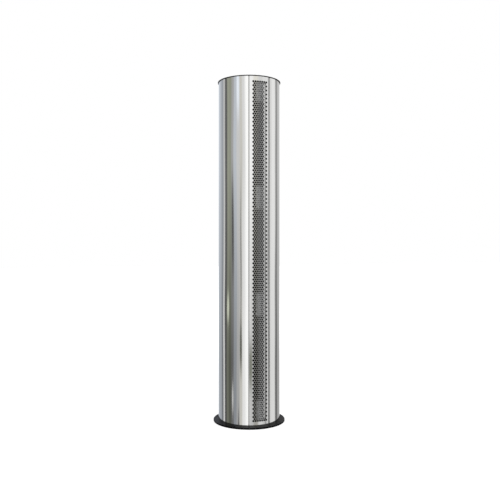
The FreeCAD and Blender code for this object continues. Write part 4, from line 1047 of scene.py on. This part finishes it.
def pale_floor(scene):
    """Floor that glows to the camera alone and isn't mirrored."""
    reach = studio().floor_reach
    mesh = bpy.data.meshes.new("floor")
    mesh.from_pydata([(-reach, -reach, 0), (reach, -reach, 0), (reach, reach, 0),
                      (-reach, reach, 0)], [], [(0, 1, 2, 3)])
    floor = bpy.data.objects.new("floor", mesh)
    scene.collection.objects.link(floor)
    pale = bpy.data.materials.new("Pale Floor")
    pale.use_nodes = True
    shader = pale.node_tree.nodes["Principled BSDF"]
    shader.inputs["Base Color"].default_value = (0.95, 0.95, 0.95, 1)
    shader.inputs["Roughness"].default_value = 0.9
    shader.inputs["Emission Color"].default_value = (0.6, 0.6, 0.6, 1)
    seen = pale.node_tree.nodes.new("ShaderNodeLightPath")
    pale.node_tree.links.new(seen.outputs["Is Camera Ray"], shader.inputs["Emission Strength"])
    floor.data.materials.append(pale)
    floor.visible_glossy = False
    return floor


def mirrored_wall():
    """Reflection wall that mirrors alone see."""
    reach = studio().wall_reach
    wall = upright_wall("studio_wall", studio().wall_radius, -reach, reach)
    wall.data.materials.append(wall_material())
    wall.visible_camera = False
    wall.visible_diffuse = False
    wall.visible_shadow = False
    wall.visible_transmission = False
    return wall


def hang_lamps(scene):
    """Square lamps that light the floor round the column. A lamp is tipped outward from straight
    down, by the angle whose tangent is its distance from the axis over its height above the
    lamp level."""
    for name, place, size, power in LAMPS:
        lamp = bpy.data.lights.new(name, "AREA")
        lamp.size = size
        lamp.energy = power
        lamp.specular_factor = 0.0
        light = bpy.data.objects.new(name, lamp)
        light.location = place
        tip = math.atan2(math.hypot(place[0], place[1]), place[2] - LAMP_LEVEL)
        light.rotation_euler = (-tip, 0.0, math.atan2(place[1], place[0]) + math.pi / 2)
        light.visible_camera = False
        light.visible_glossy = False
        scene.collection.objects.link(light)


def level_camera(scene):
    """Level camera that looks at the column's axis, turned from the intake side."""
    view = bpy.data.cameras.new("camera")
    view.lens = studio().lens
    view.sensor_width = 36.0
    view.shift_x = studio().shift_across
    view.shift_y = studio().shift_up
    camera = bpy.data.objects.new("camera", view)
    turn = studio().azimuth
    camera.location = (studio().distance * math.sin(turn),
                       -studio().distance * math.cos(turn), studio().height)
    camera.rotation_euler = (math.pi / 2, 0.0, turn)
    scene.collection.objects.link(camera)
    return camera


class CURTAIN_OT_stage(bpy.types.Operator):
    """Floor, reflection wall, lamps, world and camera"""
    bl_idname = "curtain.stage"
    bl_label = "Stage"

    def execute(self, context):
        scene = context.scene
        scene.view_settings.view_transform = "Standard"
        scene.world = soft_world()
        floor = pale_floor(scene)
        wall = mirrored_wall()
        hang_lamps(scene)
        scene.camera = level_camera(scene)
        return {"FINISHED"}


class CURTAIN_PT_build(bpy.types.Panel):
    """Pieces and settings of the air curtain"""
    bl_idname = "CURTAIN_PT_build"
    bl_label = "Air Curtain"
    bl_space_type = "VIEW_3D"
    bl_region_type = "UI"
    bl_category = "Air Curtain"

    def draw(self, context):
        for group in ("curtain_sizes", "curtain_finishes", "curtain_studio"):
            settings = getattr(context.scene, group)
            for name in settings.bl_rna.properties.keys():
                if name not in ("rna_type", "name"):
                    self.layout.prop(settings, name)
        for step in STEPS:
            self.layout.operator(step.bl_idname)


STEPS = (CURTAIN_OT_casings, CURTAIN_OT_intake_panel, CURTAIN_OT_panel_rail,
         CURTAIN_OT_outlet_panel, CURTAIN_OT_base_and_lid, CURTAIN_OT_inner_frame,
         CURTAIN_OT_fans, CURTAIN_OT_outlets, CURTAIN_OT_electrics, CURTAIN_OT_stage)
GROUPS = (CurtainSizes, CurtainFinishes, CurtainStudio)
CLASSES = GROUPS + STEPS + (CURTAIN_PT_build,)


def register():
    """Register the classes and hang the settings on the scene."""
    for item in CLASSES:
        bpy.utils.register_class(item)
    bpy.types.Scene.curtain_sizes = bpy.props.PointerProperty(type=CurtainSizes)
    bpy.types.Scene.curtain_finishes = bpy.props.PointerProperty(type=CurtainFinishes)
    bpy.types.Scene.curtain_studio = bpy.props.PointerProperty(type=CurtainStudio)


def unregister():
    """Take the settings and classes away again."""
    del bpy.types.Scene.curtain_sizes
    del bpy.types.Scene.curtain_finishes
    del bpy.types.Scene.curtain_studio
    for item in reversed(CLASSES):
        bpy.utils.unregister_class(item)


def main():
    """Build every piece and the stage."""
    register()
    bpy.ops.curtain.casings()
    bpy.ops.curtain.intake_panel()
    bpy.ops.curtain.panel_rail()
    bpy.ops.curtain.outlet_panel()
    bpy.ops.curtain.base_and_lid()
    bpy.ops.curtain.inner_frame()
    bpy.ops.curtain.fans()
    bpy.ops.curtain.outlets()
    bpy.ops.curtain.electrics()
    bpy.ops.curtain.stage()


if __name__ == "__main__":
    main()
